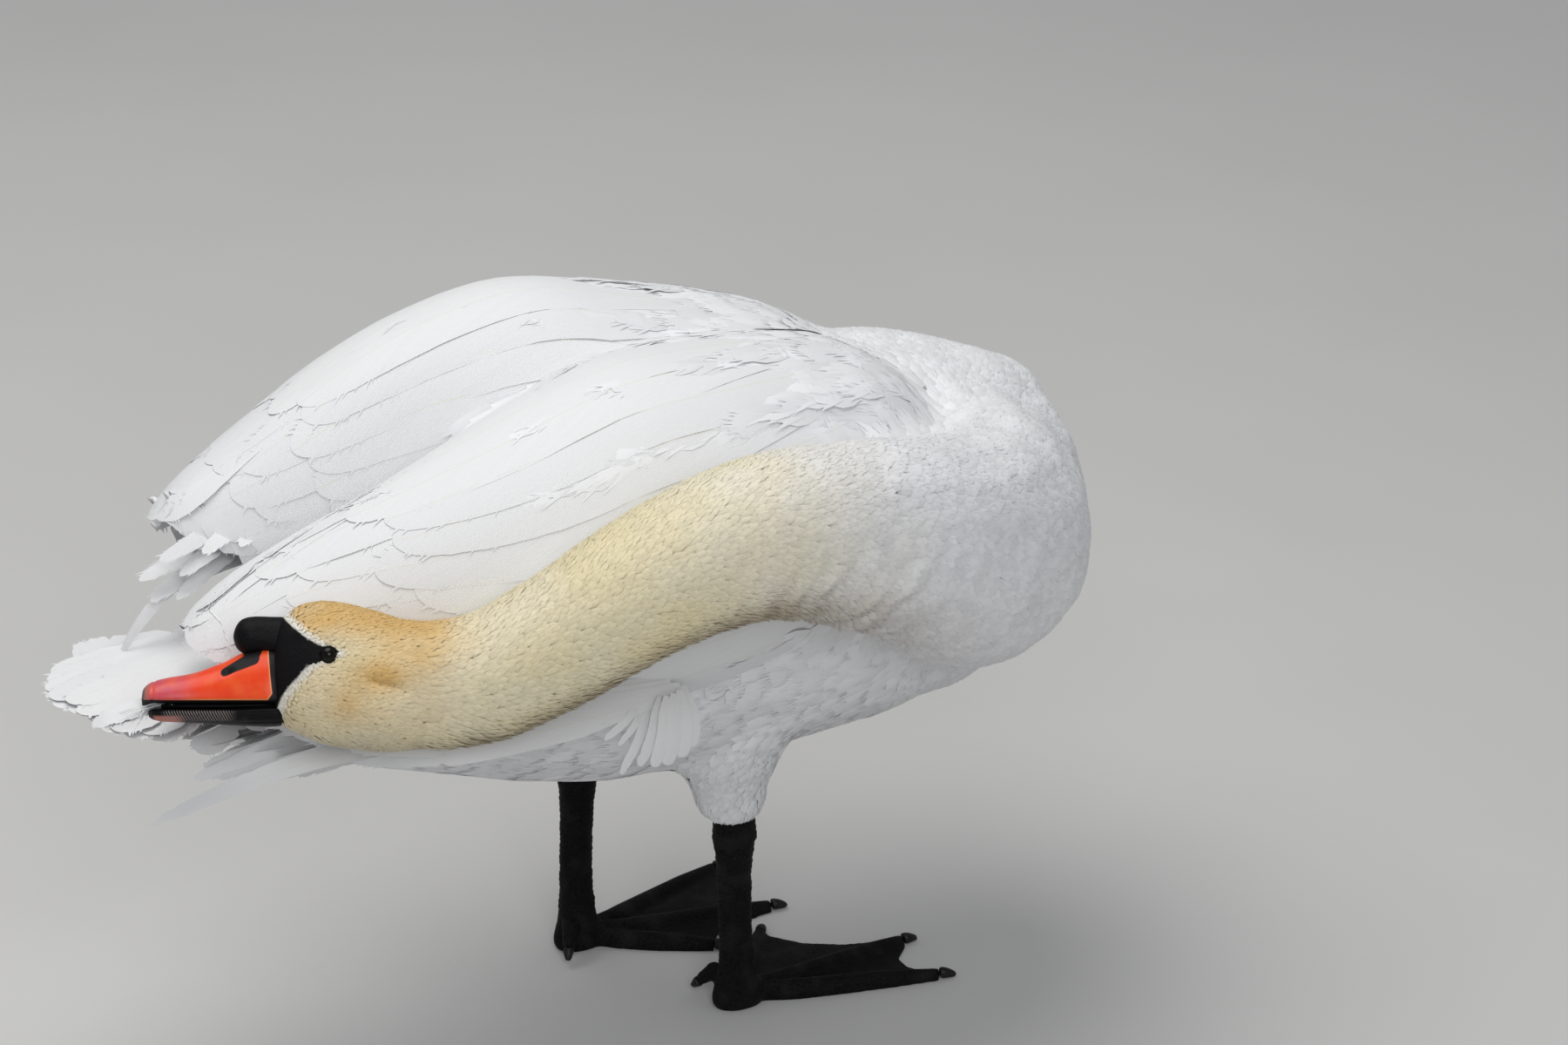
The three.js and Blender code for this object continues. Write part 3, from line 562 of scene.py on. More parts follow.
def figure(operation, a, b=0.0):
    """A sum of one or two values, of which at least one is a wire."""
    tree = (a if isinstance(a, Wire) else b).tree
    return node(tree, "ShaderNodeMath", {0: a, 1: b}, operation=operation)


def blend(tree, share, a, b, how="MIX"):
    """Mixes two colours."""
    return node(tree, "ShaderNodeMix", {0: share, 6: a, 7: b}, 2, data_type="RGBA", blend_type=how)


def mark(tree, name):
    """The three numbers of one of the marks on a mesh."""
    read = node(tree, "ShaderNodeAttribute", output="Vector", attribute_name=name)
    parts = node(tree, "ShaderNodeSeparateXYZ", {"Vector": read}).socket.node
    return [Wire(tree, part) for part in parts.outputs]


def spread(value, low, high, to_low=0.0, to_high=1.0):
    """Maps a wire from one range to another, smoothly at the ends."""
    inputs = {"Value": value, "From Min": low, "From Max": high, "To Min": to_low, "To Max": to_high}
    return node(value.tree, "ShaderNodeMapRange", inputs, interpolation_type="SMOOTHSTEP")


def texture(tree, kind, scale, stretch=(1, 1, 1), **settings):
    place = node(tree, "ShaderNodeTexCoord", output="Object")
    scaled = node(tree, "ShaderNodeMapping", {"Vector": place, "Scale": stretch})
    return node(tree, f"ShaderNodeTex{kind}", {"Vector": scaled, "Scale": scale}, **settings)


def shader(name, roughness, **settings):
    """A new material and its node tree."""
    material = bpy.data.materials.new(name)
    material.use_nodes = True
    surface = material.node_tree.nodes["Principled BSDF"]
    surface.inputs["Roughness"].default_value = roughness
    for label, value in settings.items():
        surface.inputs[label.replace("_", " ")].default_value = value
    return material, material.node_tree


def feed(tree, socket, wire):
    """Leads a wire into one of the surface's own sockets."""
    tree.links.new(wire.socket, tree.nodes["Principled BSDF"].inputs[socket])


def paint(tree, colour):
    feed(tree, "Base Color", colour)


def bump(tree, height, strength, distance):
    inputs = {"Height": height, "Strength": strength, "Distance": distance}
    feed(tree, "Normal", node(tree, "ShaderNodeBump", inputs))


WHITE = (0.815, 0.82, 0.835)
# painted shade, laid on the roots of tufts and long feathers
SHADED = (0.66, 0.63, 0.59)
CREAM = (0.77, 0.68, 0.43)
GOLD = (0.66, 0.43, 0.16)
# brown soil stain and painted shade under the neck and chin
SOIL_AND_SHADE = (0.27, 0.20, 0.11)
LORE_BLACK = (0.0025, 0.0025, 0.003)
LORE_GREY = (0.006, 0.006, 0.007)
LEG_CREASE = (0.001, 0.001, 0.001)
LEG_BLACK = (0.007, 0.007, 0.0075)
LEG_DUST = (0.02, 0.0195, 0.018)
VANE_WHITE = (0.81, 0.815, 0.82)
VANE_GREYER = (0.785, 0.79, 0.80)
VANE_STREAK = (0.73, 0.73, 0.735)
STRAW = (0.77, 0.75, 0.68)


def plumage_colour(tree):
    """White, cream, gold and soil with painted shade by the markings, and painted shade that makes a tuft's
    root darker than its tip.
    """
    colour = WHITE
    for share, stain in zip(mark(tree, "marks"), (CREAM, GOLD, SOIL_AND_SHADE)):
        colour = blend(tree, share, colour, stain)
    along, tone, _ = mark(tree, "coat")
    pale = spread(tone, 0.0, 1.0, 0.93, 1.04)
    grey = node(tree, "ShaderNodeCombineColor", {0: pale, 1: pale, 2: pale})
    colour = blend(tree, 1.0, colour, grey, "MULTIPLY")
    # Painted shade: the root of each tuft is darker, where the tufts over it would shade it.
    root_shade = blend(tree, 1.0, colour, SHADED, "MULTIPLY")
    return blend(tree, spread(along, 0.6, 0.0, 0.0, 0.22), colour, root_shade)


def plumage_material():
    material, tree = shader("plumage", 0.7, Sheen_Weight=0.15, Sheen_Roughness=0.4, Specular_IOR_Level=0.25)
    paint(tree, plumage_colour(tree))
    bump(tree, texture(tree, "Noise", 900), 0.15, 0.0005)
    return material


def skin_material():
    """Skin under the coat, which turns to bare black skin at the lores and to black scales on the legs."""
    material, tree = shader("skin", 0.6, Specular_IOR_Level=0.09)
    bare, leg, _ = mark(tree, "bare")
    grain = texture(tree, "Voronoi", 950)
    lores = blend(tree, spread(grain, 0.0, 0.7), LORE_BLACK, LORE_GREY)
    scales = texture(tree, "Voronoi", 420, (1, 1, 0.8), feature="DISTANCE_TO_EDGE")
    slate = blend(tree, spread(scales, 0.0, 0.12), LEG_CREASE, LEG_BLACK)
    dusty = texture(tree, "Noise", 60)
    slate = blend(tree, spread(dusty, 0.45, 0.75, 0.0, 0.5), slate, LEG_DUST)
    colour = blend(tree, bare, plumage_colour(tree), lores)
    paint(tree, blend(tree, leg, colour, slate))
    bump(tree, blend(tree, leg, grain, spread(scales, 0.0, 0.18)), 0.5, 0.0006)
    return material


def vane_material():
    """Long feathers: white vanes with fine barbs and a straw-coloured shaft."""
    material, tree = shader("vane", 0.62, Sheen_Weight=0.1, Specular_IOR_Level=0.3)
    along, tone, across = mark(tree, "coat")
    side = figure("ABSOLUTE", across)
    colour = blend(tree, spread(tone, 0.0, 1.0), VANE_GREYER, VANE_WHITE)
    # Painted shade: each long feather's root is darker, where the feathers over it would shade it.
    colour = blend(tree, spread(along, 0.25, 0.0, 0.0, 0.15), colour, SHADED)
    colour = blend(tree, spread(side, 0.035, 0.01, 0.0, 0.6), colour, STRAW)
    slanted = along - side * 0.22
    barbs = figure("SINE", slanted * 620.0)
    uneven = node(tree, "ShaderNodeCombineXYZ", {0: slanted, 1: tone})
    streak = node(tree, "ShaderNodeTexNoise", {"Vector": uneven, "Scale": 60.0, "Detail": 3.0})
    paint(tree, blend(tree, spread(streak, 0.3, 0.7, 0.0, 0.25), colour, VANE_STREAK))
    bump(tree, barbs + streak, 0.25, 0.0003)
    return material


PLUMAGE = plumage_material()
VANE = vane_material()

body_marks = markings(body_points, body_label)
bare = ramp(-0.6, 0.8, lore_depth(in_head(body_points))) * belongs(body_label, "head")
bare = np.concatenate([bare, np.zeros(len(leg_points))])
is_leg = np.concatenate([np.zeros(len(body_points)), np.ones(len(leg_points))])
zero = np.zeros(len(skin_points))
set_marks(
    skin,
    marks=np.concatenate([body_marks, np.zeros((len(leg_points), 3))]),
    # along of 0.25 gives the skin part of the painted shade at the tufts' roots
    coat=np.stack([zero + 0.25, zero + 0.5, zero], 1),
    bare=np.stack([bare, is_leg, zero], 1),
)
finish_piece(skin, skin_material(), "body_plumage", *FLESH, *LEGS)


# ---------------------------------------------------------------- tufts
# A tuft's rings: how far along it, how wide and how high.
SLIM = ((0, 0.5, 0.4), (0.42, 1.0, 1.0))
BROAD = ((0, 0.5, 0.4), (0.35, 1.0, 1.0), (0.72, 0.72, 0.8))


def spike(start, tip, wide, thick=1.0, lean=0.0, rings=SLIM):
    """A closed three-sided tuft: start and tip are (across, along), wide is its half width."""
    points = []
    for share, swell, high in rings:
        u = mix(start[0], tip[0], share**1.4)
        v = mix(start[1], tip[1], share)
        for offset, height in ((-swell * wide, 0), (0, high * thick), (swell * wide, 0)):
            points.append((u + offset, v, height + lean * share))
    points.append((tip[0], tip[1], 0.2 + lean))
    last = 3 * len(rings) - 3
    faces = [(0, 1, 2), *tube(3, len(rings) - 1)]
    faces += [(last + k, last + 3, last + (k + 1) % 3) for k in range(3)]
    return np.array(points, float), np.array(faces)[:, ::-1]


def tube(sides, lengths):
    """Triangles between successive rings of points."""
    faces = []
    for ring in range(0, sides * lengths, sides):
        for k in range(sides):
            n = (k + 1) % sides
            faces += [(ring + k, ring + sides + k, ring + sides + n), (ring + k, ring + sides + n, ring + n)]
    return faces


def clump(seed, count, fan, wide):
    """A tuft of fluff: a broad base under several points that part towards their tips."""
    own = np.random.default_rng(seed)
    parts = [spike((0, 0), (0, 0.86), 1.25, 0.5, -0.4, BROAD)]
    for i in range(count):
        side = 0 if count == 1 else 2 * i / (count - 1) - 1
        start = (0.35 * side + own.normal(0, 0.05), own.uniform(0, 0.12))
        tip = (fan * side + own.normal(0, 0.22), 1 - 0.2 * abs(side) - own.uniform(0, 0.16))
        parts.append(spike(start, tip, wide * own.uniform(0.8, 1.15), 1, own.uniform(-0.5, 0.6)))
    return together(parts)


SOFT_ROWS = 4
SOFT_THICK = 0.7
SOFT_LENGTH = 0.74  # as a share of the feather; its barbs make up the rest


def contour(seed, barbs):
    """A body feather: a soft lens-shaped vane whose barbs part round its tip."""
    own = np.random.default_rng(seed)
    points = []
    for share in np.linspace(0, 1, SOFT_ROWS + 1):
        half = 0.55 + 0.4 * math.sin(math.pi * min(1, share * 1.1))
        v = SOFT_LENGTH * share
        points += [(-half, v, 0), (0, v, SOFT_THICK), (half, v, 0), (0, v, -0.4 * SOFT_THICK)]
    end = 4 * SOFT_ROWS
    faces = tube(4, SOFT_ROWS)
    faces += [(0, 1, 2), (0, 2, 3), (end, end + 2, end + 1), (end, end + 3, end + 2)]
    parts = [(np.array(points, float), np.array(faces)[:, ::-1])]
    for i in range(barbs):
        side = 2 * i / (barbs - 1) - 1
        reach = math.sqrt(1 - (0.86 * side) ** 2)
        start = (0.42 * side, 0.3 + 0.14 * (1 - abs(side)) + own.normal(0, 0.03))
        tip = (1.0 * side + own.normal(0, 0.07), 0.6 + 0.4 * reach - own.uniform(0, 0.07))
        parts.append(spike(start, tip, 1.25 / barbs * own.uniform(0.9, 1.3), 0.8, own.uniform(-0.3, 0.3)))
    return together(parts)


FLUFF = [clump(seed, 3, 0.95, 0.42) for seed in range(6)]
PLUSH = [clump(40 + seed, 3, 1.0, 0.44) for seed in range(6)]
FINE = [clump(80 + seed, 2, 0.7, 0.5) for seed in range(4)]
CONTOUR = [contour(120 + seed, 8) for seed in range(8)]

skin_tree = BVHTree.FromPolygons(body_points.tolist(), body_faces.tolist())


def near_skin(points):
    """Nearest places on the skin, with their normals, triangles and shares of the corners."""
    places, faces = np.empty_like(points), np.empty(len(points), int)
    for i, p in enumerate(points.tolist()):
        places[i], _, faces[i], _ = skin_tree.find_nearest(p)
    corners = body_points[body_faces[faces]]
    share = barycentric(places, corners)
    normal = unit(np.einsum("ij,ijk->ik", share, body_normals[body_faces[faces]]))
    return places, normal, faces, share


def barycentric(p, corners):
    a, b, c = corners[:, 0], corners[:, 1], corners[:, 2]
    v0, v1, v2 = b - a, c - a, p - a
    d00, d01, d11 = dot(v0, v0)[:, 0], dot(v0, v1)[:, 0], dot(v1, v1)[:, 0]
    d20, d21 = dot(v2, v0)[:, 0], dot(v2, v1)[:, 0]
    below = np.maximum(d00 * d11 - d01 * d01, 1e-9)
    v = np.clip((d11 * d20 - d01 * d21) / below, 0, 1)
    w = np.clip((d00 * d21 - d01 * d20) / below, 0, 1)
    return np.stack([1 - v - w, v, w], 1)


RINGS = 4  # lengths of a tuft that follow the skin one by one
WINGS_REAR = -150  # behind this, feathers may reach out past the skin's edge
THIGH_HEM = 174  # below this, the thigh's tufts may hang past its end
LOST = 0.45  # a step that ends this share of its length off the skin has left it


def walk(roots, normal, way, length):
    """Rings of frames that run over the skin from each root: places, normals and ways, (tufts, rings, 3)."""
    rings = [(roots, normal, way)]
    here, up, ahead = roots, normal, way
    step = (length / RINGS)[:, None]
    for _ in range(RINGS):
        tried = here + ahead * step
        found, found_normal, faces, share = near_skin(tried)
        lost = np.linalg.norm(found - tried, axis=1, keepdims=True) > LOST * step
        lost &= (here[:, :1] < WINGS_REAR) | (here[:, 2:] < THIGH_HEM)
        here = np.where(lost, tried, found)
        up = np.where(lost, up, unit(0.35 * up + found_normal))
        flow = np.einsum("ij,ijk->ik", share, lie[body_faces[faces]])
        ahead = unit(0.6 * ahead + np.where(lost, 0, 0.4) * flow)
        ahead = unit(ahead - up * dot(ahead, up))
        rings.append((here, up, ahead))
    return (np.stack(part, 1) for part in zip(*rings))


FLAT = 0.001  # a vane bent less than this counts as bent this much


def shape_tufts(forms, which, places, normal, ways, wide, thick, cup, curve):
    """Each tuft's own template laid on its rings: points, faces, normals, template places and tufts.

    Across its width a tuft is bent on a circle: cup is its half width over the circle's diameter,
    one number or one for each ring. curve rounds the normals across it instead, where it isn't 0.
    """
    made, start = [], 0
    rings = places.shape[1] - 1
    across = unit(np.cross(ways, normal))
    for number, (template, faces) in enumerate(forms):
        mine = np.flatnonzero(which == number)
        if not len(mine):
            continue
        at = np.clip(template[:, 1], 0, 1) * rings
        low = np.minimum(at.astype(int), rings - 1)
        f = (at - low)[None, :, None]

        def along(values):
            return mix(values[mine][:, low], values[mine][:, low + 1], f)

        u, h = template[None, :, 0, None], template[None, :, 2, None]
        side, up = unit(along(across)), unit(along(normal))
        half = wide[mine][:, None, None]
        bend = along(cup) if isinstance(cup, np.ndarray) else cup
        bend = 2 * np.where(np.abs(bend) < FLAT, FLAT, bend)
        p = along(places) + side * half * np.sin(bend * u) / bend
        p += up * (h * thick[mine][:, None, None] - half * (1 - np.cos(bend * u)) / bend)
        n = unit(up + curve * side * u) if curve else up * np.cos(bend * u) + side * np.sin(bend * u)
        shifts = start + np.arange(len(mine))[:, None, None] * len(template)
        placed = np.tile(template[:, :2], (len(mine), 1))
        tuft = np.repeat(mine, len(template))
        made.append((p.reshape(-1, 3), (faces[None] + shifts).reshape(-1, 3), n.reshape(-1, 3), placed, tuft))
        start += len(mine) * len(template)
    return [np.concatenate(part) for part in zip(*made)]


# Coat of each kind: length, half width, spacing, thickness, lift of the tip, spread of direction in degrees,
# how much the vane curls down at its sides, how high over the skin its root lies, and its templates.
SIZES = ("length", "wide", "apart", "thick", "lift", "stray", "cup", "low", "forms")
KINDS = {
    "head": (6.5, 1.35, 1.7, 0.3, 0.12, 7, 0.1, 0.5, FINE),
    "neck": (11.5, 2.25, 2.5, 0.38, 0.35, 7, 0.1, 0.5, FLUFF),
    "breast": (18, 4.4, 4.3, 0.34, 0.16, 6, 0.06, 0.55, PLUSH),
    "body": (40, 11, 9, 0.3, 0.06, 6, 0.08, 0.8, CONTOUR),
    "wing": (52, 14, 10.5, 0.26, 0.0, 4, 0.1, 0.88, CONTOUR),
    "thigh": (15, 3.4, 3.8, 0.6, 0.5, 12, 0.08, 0.55, PLUSH),
}
KINDS = {kind: dict(zip(SIZES, sizes)) for kind, sizes in KINDS.items()}
KIND_NAMES = list(KINDS)
BREAST_EDGE = 150  # forward of this, give or take the noise, the trunk has the breast's plush
FIELD_SMOOTHING = 14


def kind_of(points, label):
    names = dict(trunk="body", neck_base="breast", neck_middle="neck", neck_upper="neck", tail_base="body")
    table = [names.get(name, name.split("_")[0]) for name in FLESH]
    kind = np.array([KIND_NAMES.index(name) for name in table])[label]
    front = belongs(label, "trunk") & (points[:, 0] + 60 * (noise(points, 40) - 0.5) > BREAST_EDGE)
    return np.where(front, KIND_NAMES.index("breast"), kind)


body_kind = kind_of(body_points, body_label)


def field(name):
    """A size of the coat at each point of the skin, without a jump between kinds."""
    sizes = np.array([KINDS[kind][name] for kind in KIND_NAMES], float)
    return smoothed(sizes[body_kind], body_faces, FIELD_SMOOTHING)


fields = {name: field(name) for name in ("length", "wide", "apart", "thick", "lift", "low")}
fields["depth"] = depth
hanging = ramp(-0.1, -0.8, body_normals[:, 2]) * (body_kind == KIND_NAMES.index("neck"))
fields["length"] *= 1 + 0.35 * hanging
fields["lift"] += 2.2 * hanging


PACKING = 0.75  # the area that a root takes, in squares of the spacing
TRIES = 3.2  # roots thrown for each one that there is room for


def scattered():
    """Roots spread over the skin at the local spacing: places, triangles and shares of their corners."""
    corners = body_points[body_faces]
    a, b, c = (corners[:, k] for k in range(3))
    area = 0.5 * np.linalg.norm(np.cross(b - a, c - a), axis=1)
    apart = fields["apart"][body_faces].mean(axis=1)
    wanted = area / (PACKING * apart * apart) * TRIES
    count = int(wanted.sum())
    faces = rng.choice(len(body_faces), count, p=wanted / wanted.sum())
    a, b = np.sqrt(rng.random(count)), rng.random(count)
    share = np.stack([1 - a, a * (1 - b), a * b], 1)
    places = np.einsum("ij,ijk->ik", share, corners[faces])
    tree = KDTree(count)
    for i, p in enumerate(places.tolist()):
        tree.insert(p, i)
    tree.balance()
    alive = np.ones(count, bool)
    reach = apart[faces]
    for i in range(count):
        if alive[i]:
            for _, other, _ in tree.find_range(places[i], reach[i]):
                if other > i:
                    alive[other] = False
    keep = np.flatnonzero(alive)
    return places[keep], faces[keep], share[keep]


def at_roots(values, faces, share):
    return np.einsum("ij,ij...->i...", share, values[body_faces[faces]])


PATCH = 0.003  # size of a tuft's patch on the skin's unwrap


def root_patch(faces, share, tuft, template):
    """Each point's place on the skin's unwrap: a patch at its tuft's root."""
    root = np.einsum("ij,ijk->ik", share, skin_uv[faces])
    patch = np.clip(template * [0.4, 0.9] + [0.5, 0.05], 0, 1) - 0.5
    return np.clip(root[tuft] + PATCH * patch, 0.0005, 0.9995)


MOST_TRIANGLES = 190000  # in one piece of the coat
TUFT_SOFTNESS = 0.85  # how far a tuft is shaded like the coat's own surface
REAR_WALL = -0.42  # where the wing's skin turns this far back, the long feathers cover it alone


def feathered_roots():
    """Roots of the whole coat, with their triangles, shares and kinds; the lores are bare."""
    roots, faces, share = scattered()
    head = in_head(roots)
    kind = body_kind[body_faces[faces][np.arange(len(faces)), share.argmax(axis=1)]]
    bald = (lore_depth(head) > -0.3) & (head[:, 0] > -12)
    backward = at_roots(body_normals, faces, share)[:, 0] < REAR_WALL
    keep = ~bald & ~(backward & (kind == KIND_NAMES.index("wing"))) & (roots[:, 2] > LOWEST_ROOT)
    return roots[keep], faces[keep], share[keep], kind[keep]


def grow_coat():
    """Tufts over the whole skin, in pieces by kind and by how far forward they lie."""
    roots, faces, share, kind = feathered_roots()
    size = {name: at_roots(values, faces, share) for name, values in fields.items()}
    normal = unit(at_roots(body_normals, faces, share))
    way = unit(at_roots(lie, faces, share))
    stray = np.radians(np.array([KINDS[k]["stray"] for k in KIND_NAMES])[kind]) * rng.normal(0, 1, len(kind))
    way = way * np.cos(stray)[:, None] + np.cross(normal, way) * np.sin(stray)[:, None]
    way = unit(way - normal * dot(way, normal))
    head = in_head(roots)
    near_bill = ramp(-16, -2, lore_depth(head)) * (head[:, 0] > -20)
    length = size["length"] * rng.uniform(0.82, 1.15, len(kind)) * (1 - 0.5 * near_bill)
    places, ups, ways = walk(roots, normal, way, length)
    # From its root to its tip a tuft rises to the coat's surface, and its tip may stand off it.
    v = np.linspace(0, 1, RINGS + 1)[None, :, None]
    low, deep, lift = (size[name][:, None, None] for name in ("low", "depth", "lift"))
    rise = deep * mix(low, 1, np.minimum(1, 1.3 * v))
    rise = rise + lift * v * v * rng.uniform(0.4, 1.3, len(kind))[:, None, None]
    rise += rng.normal(0, 0.035, len(kind))[:, None, None] * deep
    places = places + ups * rise
    tone = rng.random(len(kind))
    for number, name in enumerate(KIND_NAMES):
        of_kind = np.flatnonzero(kind == number)
        forms = KINDS[name]["forms"]
        per_tuft = max(len(f) for _, f in forms)
        pieces = max(1, math.ceil(len(of_kind) * per_tuft / MOST_TRIANGLES))
        order = of_kind[np.argsort(roots[of_kind, 0])]
        for i, mine in enumerate(np.array_split(order, pieces)):
            which = rng.integers(0, len(forms), len(mine))
            wide = size["wide"][mine] * rng.uniform(0.85, 1.15, len(mine))
            shaped = shape_tufts(
                forms, which, places[mine], ups[mine], ways[mine],
                wide, size["thick"][mine], KINDS[name]["cup"], 0.3,
            )  # fmt: skip
            points, made_faces, own_normals, template, tuft = shaped
            made = new_object(f"coat_{name}_{i + 1}", points, made_faces)
            spots = at_roots(body_marks, faces[mine], share[mine])[tuft]
            coat = np.stack([template[:, 1], tone[mine][tuft], template[:, 0]], 1)
            set_marks(made, marks=spots, coat=coat)
            set_bake_map(made, root_patch(faces[mine], share[mine], tuft, template))
            set_normals(made, points, made_faces, own_normals, TUFT_SOFTNESS)
            finish_piece(made, PLUMAGE, "neck_plumage" if name in ("head", "neck") else "body_plumage")


grow_coat()


# ---------------------------------------------------------------- long feathers
COLUMNS = (-1, -0.7, -0.38, -0.05, 0, 0.05, 0.38, 0.7, 1)  # places across a long feather
STEMS = (0.05, 0.2, 0.2, 0.3, 0.6, 0.3, 0.2, 0.2, 0.05)  # its half thickness at each
SLANT = 0.035  # how far the vane's edge is drawn towards the tip
NOTCH_WIDTH = 0.01  # as a share of the feather's length


def feather_form(seed, rows, outer, inner, blunt, notches, parted=18):
    """A long feather: a closed vane with a raised shaft, notched edges, and barbs that part near its tip."""
    own = np.random.default_rng(seed)
    share = 1 - (1 - np.linspace(0, 1, rows + 1)) ** 1.5
    rounded = np.sqrt(1 - np.clip((share - blunt) / (1 - blunt), 0, 1) ** 2.2)
    body = np.minimum(1, 0.35 + 2.6 * share) * rounded
    edges = {}
    for side, wide in ((-1, outer), (1, inner)):
        edge = body * wide
        for _ in range(notches):
            at = own.uniform(0.6, 0.98)
            edge = edge * (1 - own.uniform(0.1, 0.35) * np.exp(-((share - at) ** 2) / NOTCH_WIDTH**2))
        ragged = 0.006 + 0.02 * ramp(0.75, 1, share)
        edges[side] = np.maximum(edge, 0.03) * (1 + ragged * own.normal(0, 1, rows + 1))
    points = []
    for level in (1, -1):
        for r, v in enumerate(share):
            for c, stem in zip(COLUMNS, STEMS):
                slant = SLANT * abs(c)
                at = min(1, v * (1 - slant) + slant * ramp(0, 0.1, v))
                points.append((c * edges[-1 if c < 0 else 1][r], at, level * stem * (1 - 0.75 * v)))
    across = len(COLUMNS)
    under = (rows + 1) * across
    faces = []
    for r in range(rows):
        for c in range(across - 1):
            k = r * across + c
            j = k + under
            faces += [(k, k + across, k + across + 1), (k, k + across + 1, k + 1)]
            faces += [(j, j + across + 1, j + across), (j, j + 1, j + across + 1)]
    rim = list(range(across)) + [r * across + across - 1 for r in range(1, rows + 1)]
    rim += [rows * across + c for c in range(across - 2, -1, -1)]
    rim += [r * across for r in range(rows - 1, 0, -1)]
    for a, b in zip(rim, rim[1:] + rim[:1]):
        faces += [(a, b, b + under), (a, b + under, a + under)]
    parts = [(np.array(points, float), np.array(faces)[:, ::-1])]
    for _ in range(parted):
        side = -1 if own.random() < 0.5 else 1
        v = own.uniform(0.72, 0.965)
        half = side * np.interp(v, share, edges[side])
        tip = (half * own.uniform(0.95, 1.12), min(1, v + own.uniform(0.03, 0.07)))
        parts.append(spike((0.7 * half, v), tip, 0.05, 0.22))
    return together(parts)


LONG_RINGS = 16
LONG_THICK = 0.7
SLIGHT_CUP = 0.05
VANE_SOFTNESS = 0.8  # how far a vane is shaded as a smooth surface


def at_rings(values):
    """A long feather's values at its rings, from those at its control points."""
    return size_at(values, np.linspace(0, len(values) - 1, LONG_RINGS + 1))


def curve_frames(controls, face):
    """Frames along a smooth line through control points, with their upper side towards face."""
    line = at_rings(controls)
    ahead = unit(np.gradient(line, axis=0))
    up = np.asarray(face, float)
    up = at_rings(up) if up.ndim == 2 else np.tile(up, (LONG_RINGS + 1, 1))
    up = unit(up - ahead * dot(up, ahead))
    return line, up, ahead


class Plume:
    """Collects long feathers and makes them one piece."""

    def __init__(self, name, slot, nodes, form):
        self.name, self.slot, self.nodes, self.form = name, slot, nodes, form
        self.frames, self.wide, self.seeds, self.cups = [], [], [], []

    def add(self, controls, face, wide, seed, cups=None):
        self.frames.append(curve_frames(controls, face))
        self.wide.append(wide)
        self.seeds.append(seed)
        self.cups.append(at_rings(np.full((len(controls), 1), SLIGHT_CUP) if cups is None else cups))

    def make(self):
        forms = [feather_form(seed, **self.form) for seed in self.seeds]
        places, normal, ways = (np.stack(part) for part in zip(*self.frames))
        thick = np.full(len(forms), LONG_THICK)
        wide = np.array(self.wide, float)
        points, faces, own_normals, template, tuft = shape_tufts(
            forms, np.arange(len(forms)), places, normal, ways, wide, thick, np.stack(self.cups), 0
        )
        made = new_object(self.name, points, faces)
        set_normals(made, points, faces, own_normals, VANE_SOFTNESS)
        tone = rng.random(len(forms))[tuft]
        edge = np.array([np.abs(f[0][:, 0]).max() for f in forms])[tuft]
        set_marks(made, coat=np.stack([template[:, 1], tone, template[:, 0] / edge], 1))
        finish_piece(made, VANE, self.slot, *self.nodes)


# The wings' vaults: x, y and z of the crest, half widths out and in, rise, and the angles of their two edges.
VAULTS = {
    "right": [
        (182, 54, 396, 76, 90, 60, -50, 80), (150, 58, 398, 92, 120, 88, -60, 92),
        (100, 62, 398, 112, 140, 110, -75, 108), (20, 66, 398, 118, 140, 122, -80, 124),
        (-65, 66, 396, 118, 110, 126, -80, 130), (-150, 66, 388, 108, 74, 108, -80, 130),
        (-215, 65, 382, 92, 56, 90, -80, 122), (-280, 63, 378, 74, 46, 70, -80, 112),
        (-335, 60, 372, 58, 36, 50, -80, 104), (-360, 58, 368, 48, 28, 38, -78, 96),
    ],
    "left": [
        (182, 54, 396, 76, 90, 54, -50, 80), (150, 58, 398, 92, 120, 74, -60, 92),
        (100, 62, 398, 112, 140, 99, -75, 108), (20, 66, 398, 118, 140, 120, -80, 124),
        (-65, 70, 398, 118, 114, 137, -80, 130), (-150, 74, 396, 108, 82, 122, -80, 130),
        (-212, 76, 392, 92, 66, 99, -80, 122), (-268, 76, 386, 76, 56, 74, -80, 112),
        (-304, 76, 382, 62, 44, 58, -78, 104), (-324, 74, 378, 52, 34, 49, -74, 96),
    ],
}  # fmt: skip
SIDES = {"right": -1, "left": 1}


def vault(name, t, s, out=0.0):
    """Points of a wing's outer surface: t runs back over the stations, s from the inner to the lower edge."""
    t, s = np.broadcast_arrays(np.asarray(t, float), np.asarray(s, float))
    x, y, z, wide_out, wide_in, rise, inner, lower = np.moveaxis(size_at(VAULTS[name], t), -1, 0)
    angle = np.radians(mix(inner, lower, s))
    across = np.sin(angle) * (np.where(angle > 0, wide_out, wide_in) + out)
    return np.stack([x, SIDES[name] * (y + across), z + np.cos(angle) * (rise + out)], -1)


def vault_normal(name, t, s):
    run = vault(name, t + 0.02, s) - vault(name, t - 0.02, s)
    turn = vault(name, t, s + 0.01) - vault(name, t, s - 0.01)
    return unit(np.cross(turn, run)) * SIDES[name]


ROLL = 0.02  # each wing feather's edge away from the crest stands over the next one down
CREST = (0.32, 0.46)  # s of the inner and outer side of the wing's crest
WING_STOPS = 6  # control points along a wing feather
BEND_REACH = 0.05  # the vault's bend under a feather is read this far of s to each side
HANG = 0.25  # how far a tip that reaches past the vault falls, for each millimetre


